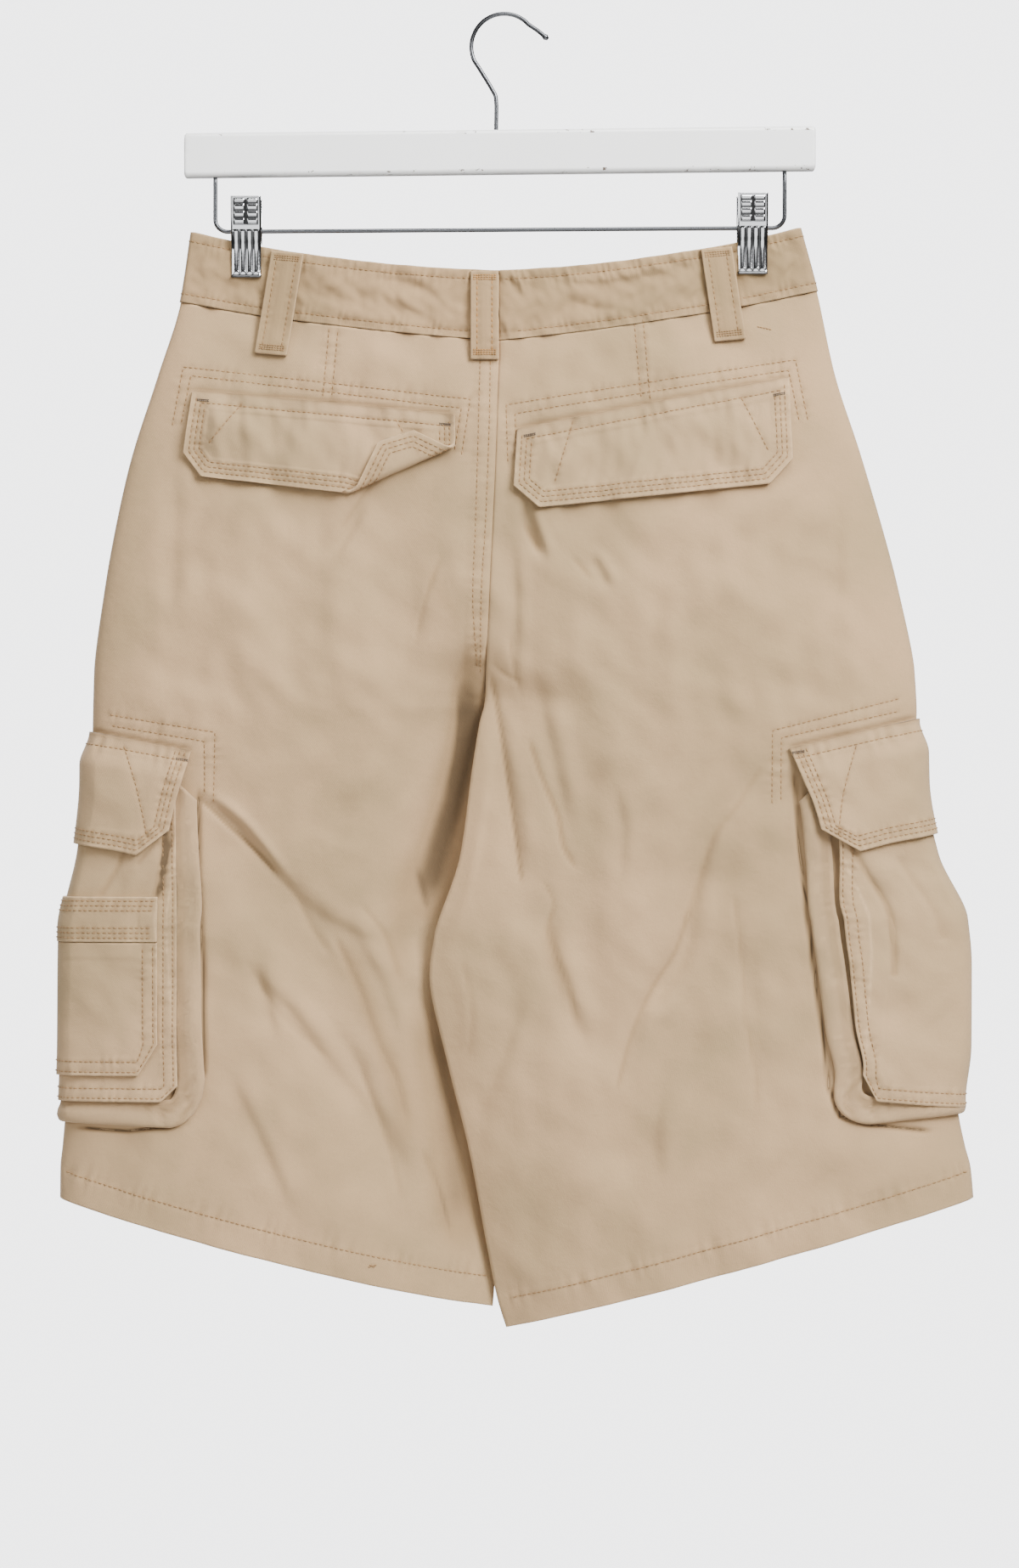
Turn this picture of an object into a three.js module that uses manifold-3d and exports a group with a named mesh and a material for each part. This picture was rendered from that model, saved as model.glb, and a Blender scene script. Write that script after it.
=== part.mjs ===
// Cargo shorts held by a clip hanger, with their back to the viewer.
// Millimetres. +Z is up, -Y is the side that the back of the shorts faces, +X is the wearer's right.
// The origin is the top of the hook's inside, the point that a rail or peg carries.
import * as THREE from "three";
import { mergeVertices } from "three/addons/utils/BufferGeometryUtils.js";
import Module from "manifold-3d";

const wasm = await Module();
wasm.setup();

// Driving dimensions of the cloth
const clothWall = 1.4; // one layer with the seam allowance that backs it
const hemWall = 2.4; // the hem is turned up twice
const bandWall = 2.4; // waistband, two layers and interfacing
const bandLift = 0.8; // the band stands proud of the panels
const flapWall = 2.0;
const loopWall = 2.0;
const seamGap = 0.3; // between any two pieces that are sewn together
const sideRoundness = 2.6; // exponent of the rounded side edge, 2 is an ellipse
const frontDrop = 13; // the front waist is this much lower than the back at the centre
const frontHemDrop = 2.5; // the front hem shows this far below the back hem
const bodyEnd = 4; // section where the seat starts to turn under
const crotch = 6; // section where the legs part
const hemSection = 16;

// Driving dimensions of the hanger
const wireRadius = 1.2;
const wireFit = 0.3; // clearance round the wire in each bored hole
const bar = { length: 356.4, depth: 12, height: 24.5, x: -2.6, z: -77.2, edge: 3 };
const hangTilt = THREE.MathUtils.degToRad(-0.65); // the bar hangs a little low on the left
const hook = { radius: 18.7, stemX: -4.7, neckZ: -47.6, tipX: 24.6, tipZ: -13.2, ball: 1.9, sunk: 14 };
const rod = { leftX: -163.4, rightX: 158.3, leftZ: -122.0, rightZ: -119.9, bend: 7, sunk: 12 };
const clip = { width: 17, sheet: 1, holeRadius: 1.5, grip: 2.85, below: 26.3 };
const clips = [
  { name: "left", x: -145.7, z: -121.9 },
  { name: "right", x: 140.1, z: -120.0 },
];

const named = (columns, rows) =>
  rows.map((row) => Object.fromEntries(columns.map((column, i) => [column, row[i]])));

// Each row is one section across half of the shorts, from the top of the waistband to the hem.
// in: centre back seam, or the inseam below the crotch. out: side seam. sag: dip between the two.
// back, front: how far each layer stands off the hanger's plane. midIn: where the leg's inner edge
// lies before or behind that plane. steps: grid rows up to the next section.
const sectionColumns = ["inX", "inZ", "outX", "outZ", "sag", "back", "front", "midIn", "steps"];
const rightSections = named(sectionColumns, [
  [-2.9, -144.7, 167.0, -119.8, 4.8, 8, 5, 0, 3], // top of the waistband
  [-2.9, -184.6, 176.6, -155.8, 3.0, 11, 7, 0, 2], // waist seam
  [-3.8, -216.7, 186.7, -202.3, 1.5, 15, 9, 0, 2], // above the pocket flap
  [-5.3, -259.9, 202.1, -250.3, 0, 18, 11, 0, 2], // hip
  [-8.2, -322.3, 222.2, -322.3, 0, 21, 12, 0, 2], // seat
  [-10.1, -365.5, 231.8, -370.3, 0, 22, 12, 0, 2], // low seat
  [-11.0, -387.0, 233.0, -393.0, 0, 22, 12, 0, 1], // crotch
  [-13.9, -399.1, 232.4, -404.0, 0, 22, 12, -2.7, 1], // legs just parted
  [-18.2, -425.5, 232.9, -432.7, 0, 21, 12, -4.8, 2], // mouth of the cargo pocket
  [-25.0, -474.5, 240.5, -473.0, 0, 20, 12, -7, 2],
  [-39.4, -519.1, 257.2, -510.0, 0, 20, 12, -8, 1], // the right leg laps furthest over the left
  [-42.2, -543.1, 259.4, -538.3, 0, 20, 12, -8, 2],
  [-31.7, -592.6, 259.2, -581.5, 0, 21, 13, -7, 2],
  [-20.2, -639.1, 256.0, -612.0, 0, 22, 13, -6, 2], // bottom of the cargo pocket
  [-9.8, -695.0, 260.0, -637.0, 1, 23, 14, -4, 1],
  [-4.0, -724.0, 263.4, -650.2, 2, 23, 14, -3, 1], // hem stitching
  [1.0, -740.4, 265.0, -667.0, 2, 23, 14, -2, 0], // hem
]);
const leftSections = named(sectionColumns, [
  [-2.9, -144.7, -176.6, -122.2, 4.8, 8, 5, 0, 3],
  [-2.9, -184.6, -182.9, -162.0, 3.0, 11, 7, 0, 2],
  [-3.8, -216.7, -196.3, -205.0, 1.5, 15, 9, 0, 2],
  [-5.3, -259.9, -212.6, -257.0, 0, 18, 11, 0, 2],
  [-8.2, -322.3, -225.6, -322.3, 0, 21, 12, 0, 2],
  [-10.1, -365.5, -231.8, -370.3, 0, 22, 12, 0, 2],
  [-11.0, -387.0, -232.4, -393.0, 0, 22, 12, 0, 1],
  [-14.0, -399.1, -232.6, -404.0, 0, 22, 12, 2.7, 1],
  [-13.4, -425.5, -232.8, -432.7, 0, 21, 12, 4.8, 2],
  [-16.3, -474.5, -236.6, -471.1, 0, 20, 12, 7, 2],
  [-20.2, -519.1, -245.8, -514.3, 0, 20, 12, 8, 1],
  [-21.1, -543.1, -246.2, -538.3, 0, 20, 12, 8, 2],
  [-18.7, -592.6, -246.5, -581.5, 0, 21, 13, 7, 2],
  [-13.9, -639.1, -247.5, -612.0, 0, 22, 13, 6, 2],
  [-9.6, -687.0, -249.5, -637.0, 2, 23, 14, 4, 1],
  [-5.5, -712.5, -250.8, -650.2, 3, 23, 14, 3, 1],
  [-6.5, -728.9, -251.0, -667.0, 4, 23, 14, 2, 0],
]);

const back = -1;
const front = 1;
const left = { sign: -1, sections: leftSections };
const right = { sign: 1, sections: rightSections };

// Each row is one large fold of the cloth: a soft trough, or a ridge where depth is above 0.
const foldColumns = ["side", "face", "fromX", "fromZ", "toX", "toZ", "width", "depth"];
const folds = named(foldColumns, [
  [left, back, -26, -372, -37, -478, 15, -8], // deep trough beside the crotch
  [left, back, -66, -285, -50, -372, 18, -4],
  [left, back, -150, -470, -112, -520, 16, -4], // from the corner of the cargo pocket
  [left, back, -100, -540, -66, -650, 20, -5],
  [right, back, 6, -400, 16, -505, 14, -5],
  [right, back, 38, -390, 46, -570, 16, -5],
  [right, back, 118, -490, 70, -640, 17, -6], // long trough across the leg
  [left, front, -40, -390, -95, -460, 18, -4],
  [right, front, 40, -390, 90, -460, 18, -4],
  [left, front, -110, -520, -75, -650, 20, -4],
  [right, front, 110, -520, 75, -650, 20, -4],
]);

const clamp01 = (t) => Math.min(1, Math.max(0, t));
const ease = (t) => clamp01(t) ** 2 * (3 - 2 * clamp01(t));
const mix = THREE.MathUtils.lerp;
const spread = (count) => Array.from({ length: count + 1 }, (_, i) => i / count);

// A curve through one column of a table that never overshoots its rows.
function columnCurve(rows, column) {
  const y = rows.map((row) => row[column]);
  const step = y.slice(1).map((value, i) => value - y[i]);
  const slope = y.map((_, i) => {
    const before = step[Math.max(0, i - 1)];
    const after = step[Math.min(step.length - 1, i)];
    return before * after > 0 ? (2 * before * after) / (before + after) : 0;
  });
  return (v) => {
    const i = Math.min(y.length - 2, Math.max(0, Math.floor(v)));
    const t = v - i;
    const bends = (t - 2 * t * t + t ** 3) * slope[i] + (t ** 3 - t * t) * slope[i + 1];
    return mix(y[i], y[i + 1], t * t * (3 - 2 * t)) + bends;
  };
}

for (const side of [left, right]) {
  side.curves = sectionColumns.map((column) => [column, columnCurve(side.sections, column)]);
}
const sectionAt = (side, v) => Object.fromEntries(side.curves.map(([column, curve]) => [column, curve(v)]));

// 0.5 on the body, where half a ring runs from centre to side, and 0 on a leg, which is a whole ring.
function ringStart(v) {
  const turned = clamp01((v - bodyEnd) / (crotch - bodyEnd));
  return 0.5 * (1 - turned ** 2);
}

// How firmly the clips press the two layers together, 1 between the jaws.
function pinch(x, v) {
  const across = clips.map((c) => 1 - ease((Math.abs(x - c.x) - 11) / 40));
  return Math.max(...across) * (1 - ease((v - 0.6) / 1.6));
}

function foldDepth(side, face, x, z) {
  let sum = 0;
  for (const fold of folds.filter((f) => f.side === side && f.face === face)) {
    const along = new THREE.Vector2(fold.toX - fold.fromX, fold.toZ - fold.fromZ);
    const offset = new THREE.Vector2(x - fold.fromX, z - fold.fromZ);
    const t = clamp01(offset.dot(along) / along.lengthSq());
    const away = offset.addScaledVector(along, -t).length();
    sum += fold.depth * Math.exp(-((away / fold.width) ** 2));
  }
  return sum;
}

// A point of the cloth. u runs from the centre to the side seam, v down the sections.
// lift moves it off the outer face, outward above 0 and into the wall below 0.
function clothPoint(side, face, u, v, lift = 0) {
  const row = sectionAt(side, v);
  const width = Math.abs(row.outX - row.inX);
  const depth = face === back ? row.back : row.front;
  const round = mix(ringStart(v), 1, u);
  const inseam = clothWall + seamGap / 2; // the pressed edge of a leg is two walls thick
  let half;
  if (round > 0.5) {
    const profile = (1 - (2 * round - 1) ** sideRoundness) ** (1 / sideRoundness);
    half = mix(seamGap / 2, depth, profile);
  } else {
    half = mix(inseam, depth, 1 - (1 - 2 * round) ** 2);
  }
  const fromSide = (1 - u) * width;
  const nose = side.sign * lift * (1 - ease(fromSide / 25));
  const x = mix(row.inX + side.sign * (seamGap / 2), row.outX, u) + nose;
  let z = mix(row.inZ, row.outZ, u) - row.sag * 4 * u * (1 - u);
  if (face === front) {
    z -= frontDrop * (1 - u) ** 2 * (1 - ease(v / crotch));
    z -= frontHemDrop * 4 * u * (1 - u) * ease((v - crotch) / 10);
  }
  const pressed = bandWall - bandLift + seamGap / 2;
  half = mix(half, Math.min(half, pressed), pinch(x, v));
  const legs = ease((v - bodyEnd) / (crotch - bodyEnd));
  const flatEdges = (1 - legs * (1 - ease((u * width) / 14))) * ease((fromSide - 12) / 25);
  const fold = foldDepth(side, face, x, z) * flatEdges;
  const room = Math.max(0.01, half - inseam);
  half += fold < 0 ? -room * (1 - Math.exp(fold / room)) : fold;
  const turned = lift > 0 ? Math.sqrt(clamp01(fromSide / (lift + 1))) : 1;
  half = Math.max(seamGap / 2, half + lift * turned);
  return new THREE.Vector3(x, row.midIn * (1 - u) ** 2 + face * half, z);
}

// The place on the sections, u and v, of a height z; shareAt gives u within a section.
function sectionThrough(side, z, shareAt) {
  let low = 0;
  let high = hemSection;
  let place;
  for (let i = 0; i < 30; i += 1) {
    const v = (low + high) / 2;
    const row = sectionAt(side, v);
    const u = clamp01(shareAt(row));
    place = { u, v, row };
    if (mix(row.inZ, row.outZ, u) - row.sag * 4 * u * (1 - u) > z) low = v;
    else high = v;
  }
  return place;
}

function onFace(side, face, x, z, lift) {
  const { u, v } = sectionThrough(side, z, (row) => (x - row.inX) / (row.outX - row.inX));
  return clothPoint(side, face, u, v, lift);
}

// A point at a distance q round the side edge, below 0 on the back and above 0 on the front.
function roundSide(side, q, z, lift) {
  const share = (row) => 1 - Math.abs(q) / Math.abs(row.outX - row.inX);
  const { u, v } = sectionThrough(side, z, share);
  return clothPoint(side, q < 0 ? back : front, u, v, lift);
}

// Makes a closed body with its faces outward from points and triangles.
function body(points, triangles) {
  const geometry = new THREE.BufferGeometry();
  const positions = points.flatMap((p) => [p.x, p.y, p.z]);
  geometry.setAttribute("position", new THREE.Float32BufferAttribute(positions, 3));
  let volume = 0;
  for (const [a, b, c] of triangles) {
    volume += points[a].dot(new THREE.Vector3().crossVectors(points[b], points[c]));
  }
  const facing = volume > 0 ? triangles : triangles.map(([a, b, c]) => [a, c, b]);
  geometry.setIndex(facing.flat());
  return geometry;
}

// The wall between two grids of points, with rims round all four sides.
function wall(outer, inner) {
  const rows = outer.length;
  const columns = outer[0].length;
  const at = (layer, i, j) => (layer * rows + i) * columns + j;
  const triangles = [];
  const quad = (a, b, c, d) => triangles.push([a, b, c], [a, c, d]);
  for (let i = 0; i < rows - 1; i += 1) {
    for (let j = 0; j < columns - 1; j += 1) {
      quad(at(0, i, j), at(0, i, j + 1), at(0, i + 1, j + 1), at(0, i + 1, j));
      quad(at(1, i, j), at(1, i + 1, j), at(1, i + 1, j + 1), at(1, i, j + 1));
    }
    const last = columns - 1;
    quad(at(0, i, 0), at(0, i + 1, 0), at(1, i + 1, 0), at(1, i, 0));
    quad(at(0, i, last), at(1, i, last), at(1, i + 1, last), at(0, i + 1, last));
  }
  for (let j = 0; j < columns - 1; j += 1) {
    const last = rows - 1;
    quad(at(0, 0, j), at(1, 0, j), at(1, 0, j + 1), at(0, 0, j + 1));
    quad(at(0, last, j), at(0, last, j + 1), at(1, last, j + 1), at(1, last, j));
  }
  return body([...outer.flat(), ...inner.flat()], triangles);
}

// A body swept through rings of points, each ring an image of the same flat outline.
function sweep(rings, outline) {
  const count = outline.length;
  const triangles = [];
  for (let i = 0; i < rings.length - 1; i += 1) {
    for (let k = 0; k < count; k += 1) {
      const next = (k + 1) % count;
      triangles.push([i * count + k, i * count + next, (i + 1) * count + next]);
      triangles.push([i * count + k, (i + 1) * count + next, (i + 1) * count + k]);
    }
  }
  const end = (rings.length - 1) * count;
  for (const [a, b, c] of THREE.ShapeUtils.triangulateShape(outline, [])) {
    const turn = outline[b].clone().sub(outline[a]).cross(outline[c].clone().sub(outline[a]));
    const [p, q, r] = turn > 0 === !THREE.ShapeUtils.isClockWise(outline) ? [a, c, b] : [a, b, c];
    triangles.push([p, q, r], [end + p, end + r, end + q]);
  }
  return body(rings.flat(), triangles);
}

const grid = (downs, acrosses, pointAt) => downs.map((b) => acrosses.map((a) => pointAt(a, b)));

// Panels. Columns stand closer at the side edge, where the cloth turns.
const backColumns = [
  0, 0.05, 0.11, 0.18, 0.25, 0.33, 0.41, 0.49, 0.57, 0.65, 0.73, 0.81, 0.88, 0.94, 0.98, 1,
];
const frontColumns = [0, 0.06, 0.14, 0.24, 0.35, 0.46, 0.57, 0.68, 0.79, 0.88, 0.94, 0.98, 1];

function panel(side, face) {
  const split = (row, i) => spread(row.steps || 1).slice(0, row.steps).map((t) => i + t);
  const below = side.sections.flatMap(split);
  const rows = [1.005, ...below.filter((v) => v > 1), hemSection];
  const columns = face === back ? backColumns : frontColumns;
  const thick = (v) => (v > hemSection - 1.01 ? hemWall : clothWall);
  const outer = grid(rows, columns, (u, v) => clothPoint(side, face, u, v));
  const inner = grid(rows, columns, (u, v) => clothPoint(side, face, u, v, -thick(v)));
  return wall(outer, inner);
}

// Half of the waistband, from the centre back round the side to the centre front.
function waistband(side) {
  const rows = [0, 0.33, 0.66, 0.995];
  const halfway = [0, 0.12, 0.26, 0.4, 0.52, 0.62, 0.71, 0.79, 0.86, 0.92, 0.965, 0.99];
  const around = [...halfway.map((u) => u - 1), 0, ...halfway.map((u) => 1 - u).reverse()];
  const layer = (lift) =>
    grid(rows, around, (s, v) => clothPoint(side, s < 0 ? back : front, 1 - Math.abs(s), v, lift));
  return wall(layer(bandLift), layer(bandLift - bandWall));
}

// Belt loops, from the top of the waistband to just below its seam.
const loopColumns = ["name", "side", "face", "topX", "topZ", "footX", "footZ", "width", "rise"];
const loops = named(loopColumns, [
  ["back_left", left, back, -122.2, -134.3, -131.5, -192.4, 18.2, -1.9],
  ["back_centre", left, back, -11.1, -145.6, -11.1, -195.4, 15.6, 0],
  ["back_right", right, back, 119.6, -131.8, 127.2, -184.1, 17.5, 1.8],
  ["front_left", left, front, -96, -138.6, -100, -194, 16, 1],
  ["front_right", right, front, 88, -138.6, 92, -194, 16, 1],
]);

function beltLoop(loop) {
  const standOff = (b) => 1.1 + 1.6 * Math.sin(Math.PI * b) - 0.5 * ease((b - 0.85) / 0.15);
  const layer = (extra) =>
    grid(spread(8), spread(2), (a, b) => {
      const x = mix(loop.topX, loop.footX, b) + (a - 0.5) * loop.width;
      const z = mix(loop.topZ, loop.footZ, b) + (a - 0.5) * loop.rise;
      return onFace(loop.side, loop.face, x, z, standOff(b) + extra);
    });
  return wall(layer(loopWall), layer(0));
}

// A patch on one face, given by its top corners and its height, with its lower corners cut off.
function facePatch(side, face, shape, standOff, thickness, columns, rows) {
  const width = Math.hypot(shape.rightX - shape.leftX, shape.rightZ - shape.leftZ);
  const layer = (extra) =>
    grid(rows, columns, (a, b) => {
      const cut = (end, from) => end * clamp01(1 - (from * width) / Math.max(end, 0.01));
      const cuts = cut(shape.cutLeft, a) + cut(shape.cutRight, 1 - a);
      const height = mix(shape.height, shape.heightRight, a) - cuts;
      const x = mix(shape.leftX, shape.rightX, a) + shape.lean * b * (2 * a - 1);
      const z = mix(shape.leftZ, shape.rightZ, a) - height * b;
      return onFace(side, face, x, z, standOff(b) + extra);
    });
  return wall(layer(thickness), layer(0));
}

// Back pocket flaps. The lower inner corner of the left one is turned up over its own face.
const rightFlap = {
  leftX: 7.2, leftZ: -234.7, rightX: 160, rightZ: -205.2,
  height: 46, heightRight: 59, cutLeft: 14, cutRight: 13, lean: 2,
};
const leftFlap = [
  [-175.3, -212.6], [-180.5, -247.9], [-170.4, -261.4], [-91.2, -270.7],
  [-52.5, -275], [-37, -266], [-28, -243.5], [-27.8, -226.8],
].map(([x, z]) => new THREE.Vector2(x, z));
const cornerFold = { x: -91.2, z: -270.7, toX: -32.2, toZ: -244.2, radius: 2.6 };

const flapStandOff = (z, topZ) => 0.3 + 1.4 * ease((topZ - z) / 22);

// Lines across an outline, all parallel to one direction, as rows of points.
function scanRows(outline, along, extraLevels, maxStep, columns) {
  const across = new THREE.Vector2(along.y, -along.x);
  const corners = outline.map((p) => p.dot(across));
  const ends = [Math.min(...corners) + 0.8, Math.max(...corners) - 0.8];
  const inside = [...corners, ...extraLevels].filter((d) => d > ends[0] + 1 && d < ends[1] - 1);
  const sorted = [...ends, ...inside].sort((a, b) => a - b);
  const marks = sorted.filter((d, i) => i === 0 || d - sorted[i - 1] > 0.5);
  const levels = marks.flatMap((d, i) => {
    if (i === marks.length - 1) return [d];
    const pieces = Math.ceil((marks[i + 1] - d) / maxStep);
    return spread(pieces).slice(0, -1).map((t) => mix(d, marks[i + 1], t));
  });
  return levels.map((level) => {
    const hits = outline.flatMap((p, i) => {
      const q = outline[(i + 1) % outline.length];
      const [a, b] = [p.dot(across) - level, q.dot(across) - level];
      return a * b <= 0 && a !== b ? [p.clone().lerp(q, a / (a - b)).dot(along)] : [];
    });
    const [low, high] = [Math.min(...hits), Math.max(...hits)];
    const pointAt = (t) => across.clone().multiplyScalar(level).addScaledVector(along, mix(low, high, t));
    return spread(columns).map((t) => pointAt(t));
  });
}

// Rolls what lies past the fold line up and back over the flap.
function rollCorner(point, height) {
  const { x, z, toX, toZ, radius } = cornerFold;
  const line = new THREE.Vector2(toX - x, toZ - z).normalize();
  const past = new THREE.Vector2(line.y, -line.x);
  const distance = point.clone().sub(new THREE.Vector2(x, z)).dot(past);
  if (distance <= 0) return { place: point, height };
  const angle = Math.min(Math.PI, distance / radius);
  const reach = (radius - height) * Math.sin(angle) - (distance - angle * radius);
  return {
    place: point.clone().addScaledVector(past, reach - distance),
    height: radius - (radius - height) * Math.cos(angle),
  };
}

function leftBackFlap() {
  const line = new THREE.Vector2(cornerFold.toX - cornerFold.x, cornerFold.toZ - cornerFold.z).normalize();
  const level = new THREE.Vector2(cornerFold.x, cornerFold.z).dot(new THREE.Vector2(line.y, -line.x));
  const turn = [0, 0.25, 0.5, 0.75, 1].map((t) => level + t * Math.PI * cornerFold.radius);
  const rows = scanRows(leftFlap, line, turn, 14, 9);
  const layer = (thickness) =>
    rows.map((row) =>
      row.map((point) => {
        const rolled = rollCorner(point, thickness);
        const topZ = mix(-212.6, -226.8, clamp01((point.x + 175.3) / 147.5));
        const standOff = flapStandOff(point.y, topZ) + rolled.height;
        return onFace(left, back, rolled.place.x, rolled.place.y, standOff);
      }),
    );
  return wall(layer(flapWall), layer(0));
}

// Cargo pockets lie round the side edge. edge: X of the piece's back edge at its top and bottom.
// round: how far it runs over the front. slope: fall of the top and bottom lines per mm from the side.
// cutX, cutZ: size of the lower corners.
const pockets = {
  left: {
    side: left,
    gusset: {
      edge: [-171.8, -169.2], round: 104, top: -437, bottom: -624,
      topSlope: 0.1, bottomSlope: 0.04, cutX: 20, cutZ: 28, rounded: true,
    },
    face: {
      edge: [-183.5, -183.5], round: 91, top: -431, bottom: -612,
      topSlope: 0.12, bottomSlope: 0, cutX: 9, cutZ: 9,
    },
    flap: {
      edge: [-175.2, -188.5], round: 96, top: -404.4, bottom: -467,
      topSlope: 0.19, bottomSlope: 0.23, cutX: 17, cutZ: 18,
    },
  },
  right: {
    side: right,
    gusset: {
      edge: [164, 183.8], round: 104, top: -437, bottom: -619.5,
      topSlope: 0.1, bottomSlope: 0.1, cutX: 24, cutZ: 22, rounded: true,
    },
    face: {
      edge: [184.4, 198.6], round: 88, top: -429, bottom: -616,
      topSlope: 0.12, bottomSlope: -0.09, cutX: 10, cutZ: 14,
    },
    flap: {
      edge: [159.6, 177.5], round: 96, top: -397, bottom: -461.5,
      topSlope: 0.233, bottomSlope: 0.245, cutX: 19, cutZ: 17,
    },
  },
};
const pouchLift = 3.5; // inside depth of a cargo pocket that hangs empty
const pouchWall = 1.4;
const patchWall = 1.3;
const patchBandWall = 1.8;
const aboveFace = pouchLift + pouchWall + seamGap;

const patchOnPouch = {
  body: {
    edge: [-194.4, -194.4], round: 50, top: -522.9, bottom: -597.5,
    topSlope: 0, bottomSlope: 0, cutX: 11, cutZ: 18,
  },
  band: {
    edge: [-194.4, -194.4], round: 50, top: -497.2, bottom: -522.5,
    topSlope: 0, bottomSlope: 0, cutX: 11, cutZ: 0,
  },
};

// The place q, z of a point of a side piece: k counts its columns from the side edge, below 0 on the
// back, and b runs down it. Near the side edge the columns of all pieces lie over each other.
const nearColumns = [0, 1.5, 5, 12, 24];
const farColumns = [0.35, 0.7, 1]; // shares of the way from the last of those to the corner's cut
const cutColumns = [0.35, 0.65, 0.88, 1]; // shares of the cut
const lastColumn = nearColumns.length + farColumns.length + cutColumns.length - 1;

function sidePlace(side, shape, k, b, inset = 0) {
  const { row } = sectionThrough(side, mix(shape.top, shape.bottom, b), () => 1);
  const edge = mix(shape.edge[0], shape.edge[1], b);
  const width = (k < 0 ? Math.abs(row.outX) - Math.abs(edge) : shape.round) - inset;
  const cutX = Math.max(1, shape.cutX - inset);
  const cutFrom = width - cutX;
  const last = nearColumns[nearColumns.length - 1];
  const columns = [
    ...nearColumns,
    ...farColumns.map((share) => mix(last, cutFrom, share)),
    ...cutColumns.map((share) => mix(cutFrom, width, share)),
  ];
  const q = columns[Math.abs(k)];
  const share = clamp01((q - cutFrom) / cutX);
  const cut = shape.rounded ? 1 - Math.sqrt(1 - share * share) : share;
  const lowest = shape.bottom - shape.bottomSlope * q + inset;
  const bottomZ = lowest + Math.max(0, shape.cutZ - inset) * cut;
  return { q: q * Math.sign(k), z: mix(shape.top - shape.topSlope * q, bottomZ, b) };
}

// Only a rounded corner needs all of the cut's columns.
const everyColumn = spread(2 * lastColumn).map((t) => Math.round((2 * t - 1) * lastColumn));
const straightCut = everyColumn.filter((k) => {
  const share = Math.abs(k) - nearColumns.length - farColumns.length + 1;
  return share <= 0 || share === cutColumns.length;
});

function sidePiece(side, shape, standOff, thickness, rows) {
  const layer = (extra) =>
    grid(spread(rows), straightCut, (k, b) => {
      const { q, z } = sidePlace(side, shape, k, b);
      return roundSide(side, q, z, standOff(b) + extra);
    });
  return wall(layer(thickness), layer(0));
}

// The gusset is a strip folded flat: sewn to the leg below, to the pocket's face above.
const gussetSection = [
  [11, 0.5], [1.3, 0.5], [0.1, 1.0], [0.1, 2.1], [1.3, 2.9], [15.5, 2.9],
  [15.5, 1.85], [2.0, 1.85], [1.5, 1.6], [2.0, 1.4], [11, 1.4],
].map(([inset, lift]) => new THREE.Vector2(inset, lift));

function gusset(side, shape) {
  const down = spread(6).slice(0, -1).map((b) => [-lastColumn, b]);
  const across = everyColumn.map((k) => [k, 1]);
  const up = spread(6).slice(1).map((b) => [lastColumn, 1 - b]);
  const rings = [...down, ...across, ...up].map(([k, b]) =>
    gussetSection.map((point) => {
      const { q, z } = sidePlace(side, shape, k, b, point.x);
      return roundSide(side, q, z, point.y);
    }),
  );
  return sweep(rings, gussetSection);
}

// Fly on the front, below the waistband: the wearer's left lies over the right.
const fly = {
  leftX: -42, leftZ: -182.5, rightX: -4.2, rightZ: -188.5,
  height: 158, heightRight: 158, cutLeft: 26, cutRight: 0, lean: 0,
};
const flyWall = 1.6;

const button = { radius: 8.5, thickness: 3.2, rim: 1.2, dish: 0.8, standOff: 1.3 };

function waistButton() {
  const { radius, thickness, rim, dish, standOff } = button;
  const profile = [
    [0, 0], [radius - 0.8, 0], [radius, 0.8], [radius, thickness - 0.7], [radius - 0.7, thickness],
    [radius - rim, thickness], [radius - rim - 1, thickness - dish], [0, thickness - dish],
  ].map(([r, y]) => new THREE.Vector2(r, y));
  const centre = clothPoint(left, front, 0.08, 0.5, bandLift + standOff);
  return new THREE.LatheGeometry(profile, 20).translate(centre.x, centre.y, centre.z);
}

// Joins equal points and drops the empty triangles that an axis leaves.
function joined(geometry) {
  const bare = geometry.clone();
  for (const name of Object.keys(bare.attributes).filter((key) => key !== "position")) {
    bare.deleteAttribute(name);
  }
  const merged = mergeVertices(bare, 1e-4);
  const index = Array.from(merged.index.array);
  const kept = [];
  for (let i = 0; i < index.length; i += 3) {
    const [a, b, c] = index.slice(i, i + 3);
    if (a !== b && b !== c && a !== c) kept.push(a, b, c);
  }
  merged.setIndex(kept);
  return merged;
}

function toManifold(geometry) {
  const { attributes, index } = joined(geometry);
  const mesh = { numProp: 3, vertProperties: new Float32Array(attributes.position.array) };
  return new wasm.Manifold(new wasm.Mesh({ ...mesh, triVerts: new Uint32Array(index.array) }));
}

function fromManifold(solid) {
  const mesh = solid.getMesh();
  const geometry = new THREE.BufferGeometry();
  geometry.setAttribute("position", new THREE.BufferAttribute(new Float32Array(mesh.vertProperties), 3));
  geometry.setIndex(Array.from(mesh.triVerts));
  return geometry;
}

const ringOf = (sides, radius) =>
  spread(sides).slice(0, -1).map((t) => {
    return new THREE.Vector2(Math.cos(2 * Math.PI * t), Math.sin(2 * Math.PI * t)).multiplyScalar(radius);
  });

// Round wire along a path of x, y, z points.
function wire(path, radius, sides = 8) {
  const outline = ringOf(sides, radius);
  const rings = path.map((point, i) => {
    const before = path[Math.max(0, i - 1)];
    const after = path[Math.min(path.length - 1, i + 1)];
    const ahead = after.clone().sub(before).normalize();
    const first = new THREE.Vector3(0, 1, 0).addScaledVector(ahead, -ahead.y).normalize();
    const second = new THREE.Vector3().crossVectors(ahead, first);
    return outline.map((o) => point.clone().addScaledVector(first, o.x).addScaledVector(second, o.y));
  });
  return sweep(rings, outline);
}

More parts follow.
